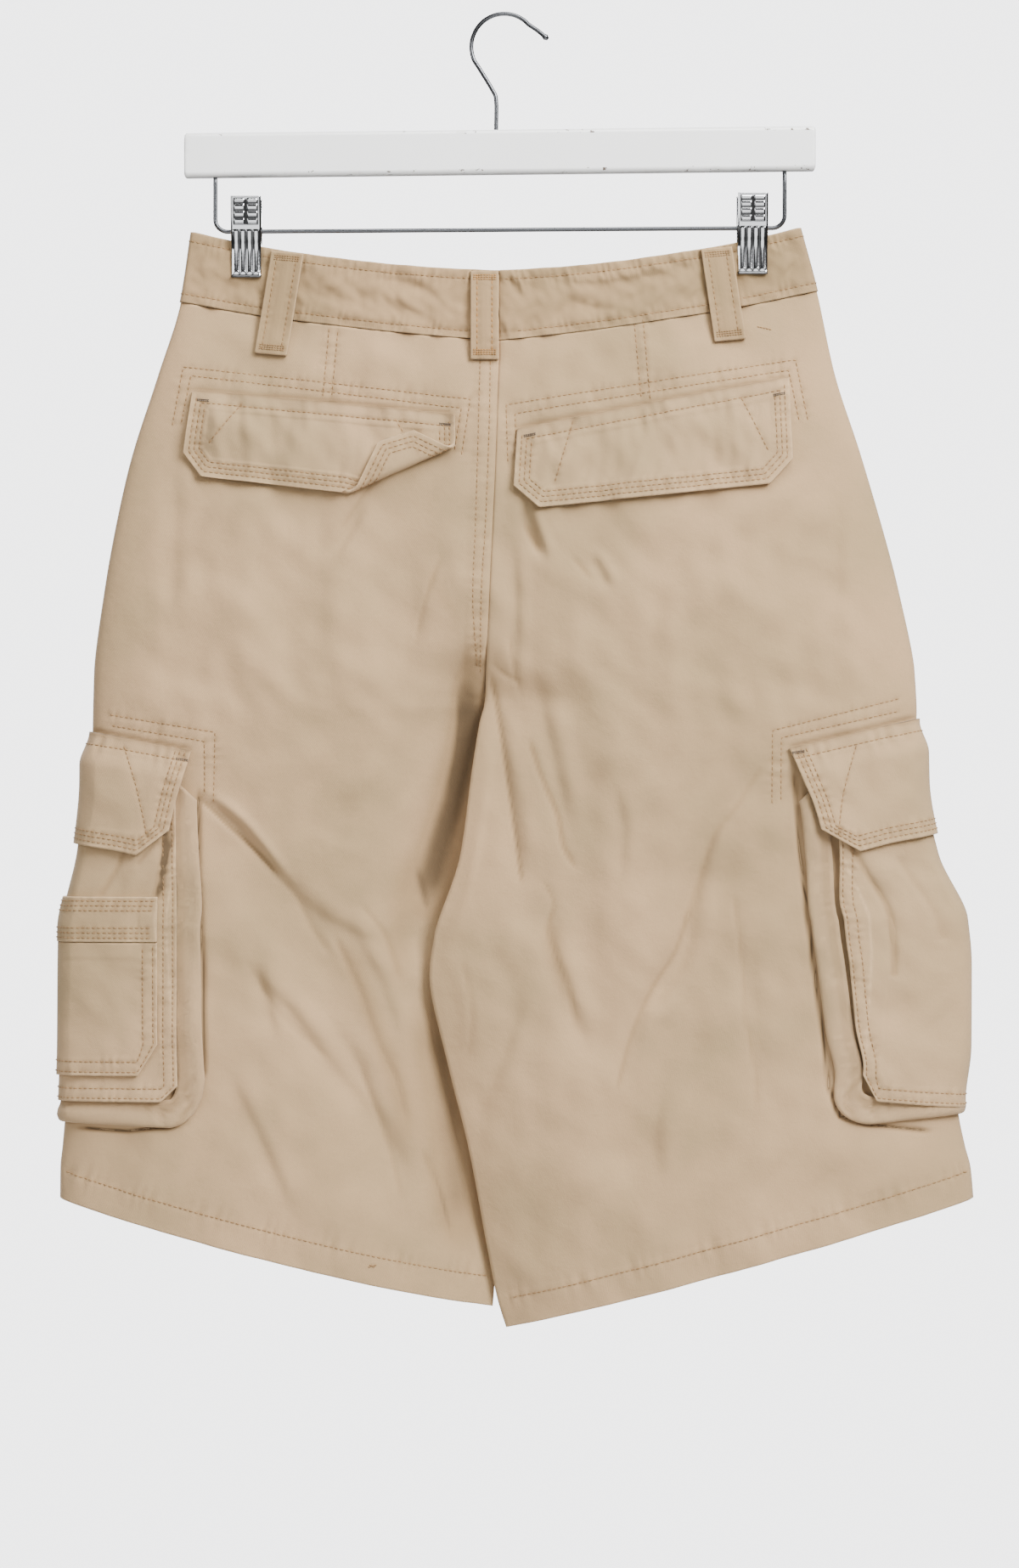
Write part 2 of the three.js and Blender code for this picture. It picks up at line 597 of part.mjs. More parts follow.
const arc = (x, z, radius, from, to, count) =>
  spread(count).map((t) => {
    const angle = THREE.MathUtils.degToRad(mix(from, to, t));
    return new THREE.Vector3(x + radius * Math.cos(angle), 0, z + radius * Math.sin(angle));
  });

function hookBody() {
  const path = [
    new THREE.Vector3(hook.stemX, 0, bar.z + bar.height / 2 - hook.sunk),
    new THREE.Vector3(hook.stemX, 0, hook.neckZ),
    new THREE.Vector3(hook.stemX - 2.2, 0, hook.neckZ + 6),
    new THREE.Vector3(hook.stemX - 9.5, 0, hook.neckZ + 18),
    ...arc(0, -hook.radius + wireRadius, hook.radius, 205, 42, 16),
    new THREE.Vector3(19.2, 0, -8.6),
    new THREE.Vector3(hook.tipX, 0, hook.tipZ),
  ];
  const ball = new THREE.SphereGeometry(hook.ball, 12, 8).translate(hook.tipX, 0, hook.tipZ);
  return fromManifold(toManifold(wire(path, wireRadius)).add(toManifold(ball)));
}

function rodBody() {
  const { leftX, rightX, leftZ, rightZ, bend, sunk } = rod;
  const top = bar.z - bar.height / 2 + sunk;
  const path = [
    new THREE.Vector3(leftX, 0, top),
    ...arc(leftX + bend, leftZ + bend, bend, 180, 270, 5),
    ...arc(rightX - bend, rightZ + bend, bend, 270, 360, 5),
    new THREE.Vector3(rightX, 0, top),
  ];
  return wire(path, wireRadius);
}

// Wooden bar with eased edges, bored for the hook and for the ends of the rod.
function barBody() {
  const { length, depth, height, edge } = bar;
  const section = new THREE.Shape();
  const [w, h] = [height / 2 - edge, depth / 2 - edge];
  section.absarc(w, h, edge - 1, 0, Math.PI / 2);
  section.absarc(-w, h, edge - 1, Math.PI / 2, Math.PI);
  section.absarc(-w, -h, edge - 1, Math.PI, 1.5 * Math.PI);
  section.absarc(w, -h, edge - 1, 1.5 * Math.PI, 2 * Math.PI);
  const eased = { bevelThickness: 1.5, bevelSize: 1, bevelSegments: 2 };
  const settings = { depth: length - 3, curveSegments: 3, ...eased };
  const shaped = new THREE.ExtrudeGeometry(section, settings).translate(0, 0, -(length - 3) / 2);
  shaped.rotateY(Math.PI / 2).rotateY(hangTilt).translate(bar.x, 0, bar.z);
  const bore = (x, fromZ, toZ) => {
    const path = [new THREE.Vector3(x, 0, fromZ), new THREE.Vector3(x, 0, toZ)];
    return toManifold(wire(path, wireRadius + wireFit, 12));
  };
  const top = bar.z + height / 2;
  const under = bar.z - height / 2;
  return fromManifold(
    toManifold(shaped)
      .subtract(bore(hook.stemX, top - hook.sunk - seamGap, top + 10))
      .subtract(bore(rod.leftX, under - 10, under + rod.sunk + seamGap))
      .subtract(bore(rod.rightX, under - 10, under + rod.sunk + seamGap)),
  );
}

// One jaw of a clip: a bent plate with two ears that the rod runs through.
const jawProfile = [
  [7.9, 19], [7.3, 10], [6.3, 3], [4.9, -4], [3.5, -8.5],
  [clip.grip, -12.5], [clip.grip, -24], [clip.grip + 1.1, -clip.below],
];
const earProfile = [[7.6, 8], [1.5, 4.2], [-2.6, 2.2], [-2.8, -1.8], [0.5, -3.4], [5.4, -3.4]];

function extrudeAcross(points, face, fromX, toX) {
  const shape = new THREE.Shape(points.map(([y, z]) => new THREE.Vector2(face * y, z)));
  const settings = { depth: toX - fromX, bevelEnabled: false };
  const geometry = new THREE.ExtrudeGeometry(shape, settings).translate(0, 0, fromX);
  const toYz = new THREE.Matrix4().makeBasis(
    new THREE.Vector3(0, 1, 0), new THREE.Vector3(0, 0, 1), new THREE.Vector3(1, 0, 0),
  );
  return toManifold(geometry.applyMatrix4(toYz));
}

// Coil spring round the rod: one arm ends in the jaw at the wall side, the other lies by the front jaw.
const coil = { radius: 2.7, turns: 3, half: 3.4, wire: 0.5, arm: 8 };

function spring() {
  const { radius, turns, half, arm } = coil;
  const points = spread(30).map((t) => {
    const angle = mix(0, (2 * turns + 1) * Math.PI, t);
    return new THREE.Vector3(mix(-half, half, t), -radius * Math.cos(angle), radius * Math.sin(angle));
  });
  const ends = [new THREE.Vector3(-half, -4.4, arm), new THREE.Vector3(half, 7.8, arm)];
  return wire([ends[0], ...points, ends[1]], coil.wire, 5);
}

function jaw(place, face) {
  const outer = jawProfile.map(([y, z]) => [y + clip.sheet, z]).reverse();
  const earOut = face === back ? clip.width / 2 : clip.width / 2 - clip.sheet - seamGap;
  const earIn = earOut - clip.sheet * 0.8;
  const pin = new THREE.CylinderGeometry(clip.holeRadius, clip.holeRadius, 30, 12).rotateZ(Math.PI / 2);
  const plate = extrudeAcross([...jawProfile, ...outer], face, -clip.width / 2, clip.width / 2)
    .add(extrudeAcross(earProfile, face, earIn, earOut))
    .add(extrudeAcross(earProfile, face, -earOut, -earIn))
    .subtract(toManifold(pin));
  const solid = face === back ? plate : plate.add(toManifold(spring()));
  return fromManifold(solid).translate(place.x, 0, place.z);
}

const materials = {
  cloth: { color: 0xc2b09b, roughness: 0.92, metalness: 0 },
  pocketCloth: { color: 0xc5b39f, roughness: 0.92, metalness: 0 },
  paintedWood: { color: 0xebebe9, roughness: 0.45, metalness: 0 },
  chrome: { color: 0xc9ccd1, roughness: 0.14, metalness: 1 },
  horn: { color: 0x8d7a63, roughness: 0.4, metalness: 0 },
};

const shorts = new THREE.Group();

function place(name, geometry, material) {
  const mesh = new THREE.Mesh(joined(geometry), new THREE.MeshStandardMaterial(materials[material]));
  mesh.geometry.computeVertexNormals();
  mesh.name = name;
  shorts.add(mesh);
}

place("back_panel_left", panel(left, back), "cloth");
place("back_panel_right", panel(right, back), "cloth");
place("front_panel_left", panel(left, front), "cloth");
place("front_panel_right", panel(right, front), "cloth");
place("waistband_left", waistband(left), "cloth");
place("waistband_right", waistband(right), "cloth");
for (const loop of loops) place(`belt_loop_${loop.name}`, beltLoop(loop), "cloth");
place("back_flap_left", leftBackFlap(), "cloth");
const rightFlapColumns = [0, 0.045, 0.09, 0.2, 0.32, 0.44, 0.56, 0.68, 0.8, 0.915, 0.96, 1];
const rightFlapLift = (b) => flapStandOff(-52 * b, 0);
const rightFlapRows = spread(5);
const rightFlapBody = facePatch(
  right, back, rightFlap, rightFlapLift, flapWall, rightFlapColumns, rightFlapRows,
);
place("back_flap_right", rightFlapBody, "cloth");
for (const [name, { side, gusset: strip, face, flap }] of Object.entries(pockets)) {
  const flapLift = (b) => mix(seamGap, aboveFace + 0.6, ease(b / 0.3));
  place(`cargo_gusset_${name}`, gusset(side, strip), "pocketCloth");
  place(`cargo_face_${name}`, sidePiece(side, face, () => pouchLift, pouchWall, 11), "pocketCloth");
  place(`cargo_flap_${name}`, sidePiece(side, flap, flapLift, flapWall - 0.2, 7), "pocketCloth");
}
const onPouch = () => aboveFace;
place("patch_pocket_left", sidePiece(left, patchOnPouch.body, onPouch, patchWall, 5), "pocketCloth");
place("patch_band_left", sidePiece(left, patchOnPouch.band, onPouch, patchBandWall, 2), "pocketCloth");
const flyColumns = [0, 0.35, 0.7, 1];
place("fly_flap", facePatch(left, front, fly, () => seamGap, flyWall, flyColumns, spread(8)), "cloth");
place("waist_button", waistButton(), "horn");
place("hanger_bar", barBody(), "paintedWood");
place("hanger_hook", hookBody(), "chrome");
place("hanger_rod", rodBody(), "chrome");
for (const item of clips) {
  place(`clip_${item.name}_front_jaw`, jaw(item, back), "chrome");
  place(`clip_${item.name}_back_jaw`, jaw(item, front), "chrome");
}

export default shorts;
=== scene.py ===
# Cargo shorts on a clip hanger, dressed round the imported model
import bpy
import numpy as np
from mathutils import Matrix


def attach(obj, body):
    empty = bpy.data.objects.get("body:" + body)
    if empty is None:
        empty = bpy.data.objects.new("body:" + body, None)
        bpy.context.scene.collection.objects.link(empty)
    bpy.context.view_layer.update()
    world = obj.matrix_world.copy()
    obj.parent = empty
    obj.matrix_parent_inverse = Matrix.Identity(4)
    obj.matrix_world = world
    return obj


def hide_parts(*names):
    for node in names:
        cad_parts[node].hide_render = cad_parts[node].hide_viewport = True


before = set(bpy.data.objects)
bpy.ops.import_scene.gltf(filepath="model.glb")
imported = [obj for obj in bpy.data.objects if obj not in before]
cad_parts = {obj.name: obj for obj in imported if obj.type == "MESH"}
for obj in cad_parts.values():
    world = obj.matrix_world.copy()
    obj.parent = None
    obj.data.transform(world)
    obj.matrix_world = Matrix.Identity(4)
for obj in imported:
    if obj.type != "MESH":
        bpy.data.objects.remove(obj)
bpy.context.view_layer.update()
print("frame loaded")

mm = 0.001  # the cloth is worked out in millimetres, the meshes are in metres
back, front = -1, 1
faceNames = {back: "back", front: "front"}
chance = np.random.default_rng(5)  # every uneven touch comes from this one draw


# Small helpers

def clamp01(t):
    return np.clip(t, 0.0, 1.0)


def ease(t):  # rises from 0 to 1 with level ends: 3t^2 - 2t^3
    t = clamp01(t)
    return t * t * (3 - 2 * t)


def mix(a, b, t):
    return a + (b - a) * t


def bell(distance, width):  # 1 at no distance, 0.37 at one width, soon nothing
    return np.exp(-((distance / width) ** 2))


def evenly(values, step):  # places along a rising list of lengths, an even number of equal steps
    count = 2 * max(1, int(round((values[-1] - values[0]) / (2 * step))))
    return np.linspace(values[0], values[-1], count + 1)


def smoothPath(points, each=8):  # Catmull-Rom curve: a cubic through every point
    p = np.array(points, float)
    if len(p) < 3:
        return p
    p = np.vstack([2 * p[0] - p[1], p, 2 * p[-1] - p[-2]])
    t = np.linspace(0, 1, each, endpoint=False)[:, None]
    spans = []
    for before, start, end, after in zip(p[:-3], p[1:-2], p[2:-1], p[3:]):
        bend = 2 * before - 5 * start + 4 * end - after
        twist = 3 * start - before - 3 * end + after
        spans.append(0.5 * (2 * start + (end - before) * t + bend * t**2 + twist * t**3))
    return np.vstack(spans + [p[-2:-1]])


def alongPath(a, b, path):  # nearest place on a path: distance, side of it (right is +1), length to it
    best = np.full(a.shape, 1e9)
    turn = np.zeros(a.shape)
    reach = np.zeros(a.shape)
    total = 0.0
    for (a0, b0), (a1, b1) in zip(path[:-1], path[1:]):
        da, db = a1 - a0, b1 - b0
        length = np.hypot(da, db)
        t = clamp01(((a - a0) * da + (b - b0) * db) / length**2)
        ea, eb = a - a0 - t * da, b - b0 - t * db
        away = np.hypot(ea, eb)
        nearer = away < best
        best = np.where(nearer, away, best)
        turn = np.where(nearer, np.sign(ea * db - eb * da), turn)
        reach = np.where(nearer, total + t * length, reach)
        total += length
    return best, turn, reach, total


def nearPath(a, b, path, margin):  # which points lie in the path's box, grown by a margin
    low, high = np.min(path, axis=0) - margin, np.max(path, axis=0) + margin
    return (a > low[0]) & (a < high[0]) & (b > low[1]) & (b < high[1])


# The shape of the cloth: half of the shorts is a stack of sections, from the waist down to the hem

clothForm = {
    "wall": 1.4, "hemWall": 2.4, "bandWall": 2.4, "bandLift": 0.8, "flapWall": 2.0, "loopWall": 2.0,
    "seamGap": 0.3, "roundness": 2.6, "frontDrop": 13.0, "frontHemDrop": 2.5,
    "bodyEnd": 4.0, "tuckStart": 2.6, "inseamPower": 3.0, "seamDip": 0.6, "seamDipWidth": 1.3,
    "crotch": 6.0, "hem": 16.0, "bandEnd": 1.0,
}
edgeForm = {  # the edges stay free of folds
    "side": 25, "plainSide": 12, "plainInseam": 14, "plainBand": 0.9, "crumpleIn": 0.6,
}
pinchForm = {"at": (-145.7, 140.1), "half": 11, "fade": 40, "down": 0.6, "fadeDown": 1.6}  # between the jaws
sectionColumns = ("inX", "inZ", "outX", "outZ", "sag", "back", "front", "midIn")
rightSections = [
    (-2.9, -144.7, 167.0, -119.8, 4.8, 8, 5, 0),  # top of the waistband
    (-2.9, -184.6, 176.6, -155.8, 3.0, 11, 7, 0),  # waist seam
    (-3.8, -216.7, 186.7, -202.3, 1.5, 15, 9, 0),
    (-5.3, -259.9, 202.1, -250.3, 0, 18, 11, 0),
    (-8.2, -322.3, 222.2, -322.3, 0, 21, 12, 0),
    (-10.1, -365.5, 231.8, -370.3, 0, 22, 12, -1.0),
    (-11.0, -387.0, 233.0, -393.0, 0, 22, 12, -4.0),  # crotch
    (-13.9, -399.1, 232.4, -404.0, 0, 22, 12, -5.5),
    (-18.2, -425.5, 232.9, -432.7, 0, 21, 12, -7.0),
    (-25.0, -474.5, 240.5, -473.0, 0, 20, 12, -8),
    (-39.4, -519.1, 257.2, -510.0, 0, 20, 12, -8),
    (-42.2, -543.1, 259.4, -538.3, 0, 20, 12, -8),
    (-31.7, -592.6, 259.2, -581.5, 0, 21, 13, -7),
    (-20.2, -639.1, 256.0, -612.0, 0, 22, 13, -6),
    (-9.8, -695.0, 260.0, -637.0, 1, 23, 14, -4),
    (-4.0, -724.0, 263.4, -650.2, 2, 23, 14, -3),
    (1.0, -740.4, 265.0, -667.0, 2, 23, 14, -2),  # hem
]
leftSections = [
    (-2.9, -144.7, -176.6, -122.2, 4.8, 8, 5, 0),
    (-2.9, -184.6, -182.9, -162.0, 3.0, 11, 7, 0),
    (-3.8, -216.7, -196.3, -205.0, 1.5, 15, 9, 0),
    (-5.3, -259.9, -212.6, -257.0, 0, 18, 11, 0),
    (-8.2, -322.3, -225.6, -322.3, 0, 21, 12, 0),
    (-9.9, -365.5, -231.8, -370.3, 0, 22, 12, 0),
    (-10.1, -387.0, -232.4, -393.0, 0, 22, 12, 1.5),
    (-12.6, -399.1, -232.6, -404.0, 0, 22, 12, 4.2),
    (-13.4, -425.5, -232.8, -432.7, 0, 21, 12, 7.0),
    (-16.3, -474.5, -236.6, -471.1, 0, 20, 12, 8.8),
    (-20.2, -519.1, -245.8, -514.3, 0, 20, 12, 8.8),
    (-21.1, -543.1, -246.2, -538.3, 0, 20, 12, 8),
    (-18.7, -592.6, -246.5, -581.5, 0, 21, 13, 7),
    (-13.9, -639.1, -247.5, -612.0, 0, 22, 13, 6),
    (-9.6, -687.0, -249.5, -637.0, 2, 23, 14, 4),
    (-5.5, -712.5, -250.8, -650.2, 3, 23, 14, 3),
    (-6.5, -728.9, -251.0, -667.0, 4, 23, 14, 2),
]


def columnCurve(values):  # cubic through a column of the table that never overshoots its rows
    y = np.array(values, float)
    step = np.diff(y)
    before, after = np.r_[step[0], step], np.r_[step, step[-1]]
    same = before * after > 0
    slope = np.where(same, 2 * before * after / np.where(same, before + after, 1), 0)

    def curve(v):
        i = np.clip(np.floor(v).astype(int), 0, len(y) - 2)
        t = v - i
        bends = (t - 2 * t * t + t**3) * slope[i] + (t**3 - t * t) * slope[i + 1]
        return mix(y[i], y[i + 1], t * t * (3 - 2 * t)) + bends

    return curve


def halfOf(name, sign, rows):
    table = np.array(rows, float)
    curves = {column: columnCurve(table[:, i]) for i, column in enumerate(sectionColumns)}
    return {"name": name, "sign": sign, **curves}


left, right = halfOf("left", -1, leftSections), halfOf("right", 1, rightSections)

# Folds: a soft trough, or a ridge where depth is above 0, along a path of x, z places.
# A crease is sharp on the left-hand side of its path and soft on the right. lip raises the cloth along
# the sharp side, as a share of the depth.
broadFolds = [  # side, face, width, depth, path
    (left, back, 15, -11, [(-24, -378), (-37, -478)]),
    (left, back, 13, -7, [(-30, -440), (-46, -520)]),
    (left, back, 18, -4, [(-66, -285), (-50, -372)]),
    (left, back, 16, -4, [(-150, -470), (-112, -520)]),
    (left, back, 20, -5, [(-100, -540), (-66, -650)]),
    (right, back, 14, -5, [(6, -400), (16, -505)]),
    (right, back, 16, -5, [(38, -390), (46, -570)]),
    (right, back, 17, -6, [(118, -490), (70, -640)]),
    (left, front, 18, -4, [(-40, -390), (-95, -460)]),
    (right, front, 18, -4, [(40, -390), (90, -460)]),
    (left, front, 20, -4, [(-110, -520), (-75, -650)]),
    (right, front, 20, -4, [(110, -520), (75, -650)]),
]
creases = [  # side, face, width, depth, lip, path
    (left, back, 5.0, -2.4, 0.5, [(-78, -272), (-86, -290), (-100, -312)]),  # from the turned flap corner
    (left, back, 12, -2.6, 0.2, [(-50, -318), (-54, -346), (-62, -380)]),
    (left, back, 8, -6.5, 0.35, [(-27, -374), (-25, -400), (-25, -420), (-33, -446), (-38, -474),
                                 (-47, -506)]),
    (left, back, 7, -3.5, 0.2, [(-45, -430), (-41, -465), (-55, -512)]),
    (left, back, 11, -4.5, 0.25, [(-52, -520), (-40, -570), (-30, -620), (-24, -670), (-22, -715)]),
    (left, back, 3.6, -3.4, 0.7, [(-176, -437), (-153, -454), (-137, -472), (-118, -497)]),  # from the lid
    (left, back, 7, -2.6, 0.4, [(-128, -484), (-108, -506), (-84, -520), (-64, -528)]),
    (left, back, 5.5, -2.8, 0.5, [(-141, -530), (-136, -550), (-128, -580)]),
    (left, back, 7, -3.2, 0.5, [(-148, -536), (-122, -562), (-96, -596), (-66, -632)]),
    (left, back, 8, -3.4, 0.4, [(-105, -556), (-84, -592), (-66, -634), (-50, -668)]),
    (left, back, 6, -2.2, 0.3, [(-158, -592), (-140, -628), (-118, -680)]),
    (left, back, 6, -1.8, 0.4, [(-92, -508), (-70, -548), (-58, -590)]),
    (left, back, 9, 1.8, 0.0, [(-120, -455), (-95, -470), (-70, -474)]),
    (left, back, 16, -3.0, 0.0, [(-120, -250), (-105, -300), (-110, -360)]),  # slack seat
    (left, back, 18, 2.4, 0.0, [(-160, -300), (-140, -360), (-130, -420)]),
    (right, back, 18, -3.0, 0.0, [(95, -290), (80, -350), (85, -410)]),
    (right, back, 16, 2.4, 0.0, [(150, -300), (130, -350), (120, -400)]),
    (right, back, 9, -2.4, 0.3, [(196, -250), (188, -290), (186, -340)]),
    (left, back, 9, -2.4, 0.3, [(-190, -240), (-186, -290), (-190, -350)]),
    (right, back, 6.5, -4.4, 0.5, [(-7, -372), (-3, -410), (4, -452), (9, -494)]),
    (right, back, 4.5, -2.0, 0.4, [(4, -290), (6, -335), (5, -384)]),
    (right, back, 7, -4.2, 0.45, [(14, -366), (24, -408), (31, -440), (38, -478)]),
    (right, back, 3.6, -3.0, 0.6, [(10, -272), (15, -288), (24, -312)]),  # under the right flap
    (right, back, 4.0, -2.0, 0.6, [(47, -304), (53, -314), (60, -327)]),
    (right, back, 6.5, -3.4, 0.45, [(30, -496), (25, -524), (31, -546), (38, -562), (48, -592)]),
    (right, back, 7.5, -4.6, 0.5, [(150, -418), (132, -436), (117, -454), (107, -490), (101, -527),
                                   (86, -552), (75, -566), (63, -614)]),
    (right, back, 6.5, -2.4, 0.4, [(10, -546), (3, -574), (-5, -596), (-18, -624)]),
    (right, back, 10, -1.8, 0.3, [(148, -496), (137, -530), (138, -566), (148, -628)]),
    (right, back, 5, -1.6, 0.4, [(60, -430), (66, -462), (62, -500)]),
    (right, back, 6, -1.6, 0.3, [(92, -590), (84, -628), (88, -668)]),
    (right, back, 4, 1.6, 0.0, [(-4, -400), (-16, -470), (-26, -520)]),
    (left, front, 7, -3.0, 0.4, [(-30, -372), (-58, -398), (-96, -424)]),
    (left, front, 8, -2.6, 0.4, [(-140, -500), (-112, -560), (-92, -640)]),
    (left, front, 6, -2.0, 0.5, [(-60, -470), (-66, -540), (-54, -600)]),
    (right, front, 7, -3.0, 0.4, [(24, -370), (50, -400), (92, -420)]),
    (right, front, 8, -2.6, 0.4, [(134, -510), (120, -566), (86, -644)]),
    (right, front, 6, -2.0, 0.5, [(50, -480), (58, -530), (52, -610)]),
    (left, back, 4.0, -1.3, 0.6, [(-80, -150), (-58, -152), (-42, -158), (-26, -176)]),  # waistband
    (left, back, 4.5, -1.6, 0.5, [(-108, -154), (-98, -158), (-86, -166)]),
    (left, back, 5.0, -1.8, 0.4, [(-178, -140), (-166, -146), (-152, -149)]),
    (left, back, 3.5, -1.3, 0.5, [(-64, -160), (-56, -167), (-44, -172)]),
    (right, back, 4.0, -1.5, 0.5, [(30, -158), (48, -166), (70, -168)]),
    (right, back, 4.5, -1.6, 0.4, [(146, -140), (158, -148), (168, -150)]),
    (right, back, 3.0, -1.4, 0.7, [(1, -149), (6, -154), (9, -161)]),
    (right, back, 3.4, -1.2, 0.7, [(20, -152), (55, -153), (100, -145)]),
]
foldLook = {  # sharp, lipAt and lipWidth are shares of a crease's width, taper of its length
    "strength": 0.85, "widen": 1.15, "sharp": 0.5, "lipAt": 1.1, "lipWidth": 0.7, "taper": 0.35,
}
folds = [
    {"side": s, "face": f, "width": w, "depth": d, "lip": 0.0, "path": np.array(p, float), "tapered": False}
    for s, f, w, d, p in broadFolds
] + [
    {"side": s, "face": f, "width": w * foldLook["widen"], "depth": d * foldLook["strength"], "lip": k,
     "path": smoothPath(p, 5), "tapered": True}
    for s, f, w, d, k, p in creases
]

crumpleWaves = {
    "count": 16, "lengths": (16, 62), "height": 0.0078,  # mm of height for each mm of wavelength
    "calmFrom": 380, "calmOver": 100, "calm": 0.25,  # gentler down the legs
}
waveAngle = chance.uniform(0, np.pi, crumpleWaves["count"])
waveLength = chance.uniform(*crumpleWaves["lengths"], crumpleWaves["count"])
wavePhase = chance.uniform(0, 2 * np.pi, crumpleWaves["count"])


def crumple(x, z, face):  # washed cotton: a sum of sine waves, each bent by a slower one
    bentX = x + 7 * np.sin(z / 31 + face) + 3 * np.sin(z / 12.3)
    bentZ = z + 6 * np.sin(x / 27 + 2 * face) + 3 * np.sin(x / 10.7)
    total = np.zeros_like(x)
    for angle, length, phase in zip(waveAngle, waveLength, wavePhase):
        along = bentX * np.cos(angle) + bentZ * np.sin(angle)
        total += crumpleWaves["height"] * length * np.sin(2 * np.pi * along / length + phase)
    lower = ease((-z - crumpleWaves["calmFrom"]) / crumpleWaves["calmOver"])
    return total * (1 - crumpleWaves["calm"] * lower)


def foldDepth(side, face, x, z):  # sum over folds: depth times a bell of the distance to the path
    total = np.zeros_like(x)
    for fold in folds:
        if fold["side"] is not side or fold["face"] != face:
            continue
        near = nearPath(x, z, fold["path"], 4 * fold["width"])
        if not near.any():
            continue
        away, turn, reach, length = alongPath(x[near], z[near], fold["path"])
        signed = away * turn / fold["width"]
        if fold["tapered"]:
            profile = bell(signed, np.where(signed < 0, foldLook["sharp"], 1))
            profile -= fold["lip"] * bell(signed + foldLook["lipAt"], foldLook["lipWidth"])
            taper = foldLook["taper"] * length
            profile *= ease(reach / taper) * ease((length - reach) / taper)
        else:
            profile = bell(signed, 1)
        total[near] += fold["depth"] * profile
    return total


def pinch(x, v):  # 1 between the jaws of a clip, 0 away from them
    form = pinchForm
    across = [1 - ease((np.abs(x - clipX) - form["half"]) / form["fade"]) for clipX in form["at"]]
    return np.maximum(*across) * (1 - ease((v - form["down"]) / form["fadeDown"]))


# A point of the cloth: u runs from the centre to the side seam, v down the sections. Half the depth
# follows a superellipse round the side edge, and a power curve towards the inseam of a leg.
def clothPoint(side, face, u, v, lift=0.0):
    u, v, lift = (np.array(t) for t in np.broadcast_arrays(u, v, lift))
    form = clothForm
    inX, outX = side["inX"](v), side["outX"](v)
    width = np.abs(outX - inX)
    depth = side["back" if face == back else "front"](v)
    legs = ease((v - form["bodyEnd"]) / (form["crotch"] - form["bodyEnd"]))
    turn = mix(0.5 * (1 - ease((v - form["tuckStart"]) / (form["crotch"] - form["tuckStart"]))), 1, u)
    inseam = form["wall"] + form["seamGap"] / 2
    profile = (1 - clamp01(2 * turn - 1) ** form["roundness"]) ** (1 / form["roundness"])
    atSide = mix(form["seamGap"] / 2, depth, profile)
    atInseam = mix(inseam, depth, 1 - np.abs(1 - 2 * turn) ** form["inseamPower"])
    half = np.where(turn > 0.5, atSide, atInseam)
    fromSide = (1 - u) * width
    nose = side["sign"] * lift * (1 - ease(fromSide / edgeForm["side"]))
    x = mix(inX, outX, u) + nose
    z = mix(side["inZ"](v), side["outZ"](v), u) - side["sag"](v) * 4 * u * (1 - u)
    if face == front:
        z = z - form["frontDrop"] * (1 - u) ** 2 * (1 - ease(v / form["crotch"]))
        downLeg = ease((v - form["crotch"]) / (form["hem"] - form["crotch"]))
        z = z - form["frontHemDrop"] * 4 * u * (1 - u) * downLeg
    pressed = form["bandWall"] - form["bandLift"] + form["seamGap"] / 2
    half = mix(half, np.minimum(half, pressed), pinch(x, v))
    flatEdges = 1 - legs * (1 - ease(u * width / edgeForm["plainInseam"]))
    flatEdges = flatEdges * ease((fromSide - edgeForm["plainSide"]) / edgeForm["side"])
    fold = foldDepth(side, face, x, z) * flatEdges
    belowBand = ease((v - edgeForm["plainBand"]) / edgeForm["crumpleIn"])
    fold = fold + crumple(x, z, face) * flatEdges * belowBand
    room = np.maximum(0.01, half - inseam)
    half = half + np.where(fold < 0, -room * (1 - np.exp(np.minimum(fold, 0) / room)), fold)
    half = half - form["seamDip"] * bell(u * width, form["seamDipWidth"]) * (1 - legs)
    turned = np.where(lift > 0, np.sqrt(clamp01(fromSide / (np.maximum(lift, 0) + 1))), 1)
    half = np.maximum(form["seamGap"] / 2, half + lift * turned)
    y = side["midIn"](v) * (1 - u) ** 2 + face * half
    return np.stack([x, y, z], axis=-1)


halvings = 24


def placeOn(side, z, x=None, q=None):  # u and v of a height z, by halving; x across, or q from the side
    z, other = np.broadcast_arrays(np.asarray(z, float), np.asarray(q if x is None else x, float))
    low, high = np.zeros(z.shape), np.full(z.shape, clothForm["hem"])
    for _ in range(halvings):
        v = (low + high) / 2
        inX, outX = side["inX"](v), side["outX"](v)
        u = clamp01(1 - np.abs(other) / np.abs(outX - inX) if x is None else (other - inX) / (outX - inX))
        above = mix(side["inZ"](v), side["outZ"](v), u) - side["sag"](v) * 4 * u * (1 - u) > z
        low, high = np.where(above, v, low), np.where(above, high, v)
    return u, v


def onFace(side, face, x, z, lift):
    u, v = placeOn(side, z, x=x)
    return clothPoint(side, face, u, v, lift)


def roundSide(side, q, z, lift):  # q is below 0 on the back and above 0 on the front
    u, v = placeOn(side, z, q=q)
    lift = np.broadcast_to(lift, np.shape(q))
    onBack, onFront = clothPoint(side, back, u, v, lift), clothPoint(side, front, u, v, lift)
    return np.where((np.asarray(q) < 0)[..., None], onBack, onFront)


# Meshes

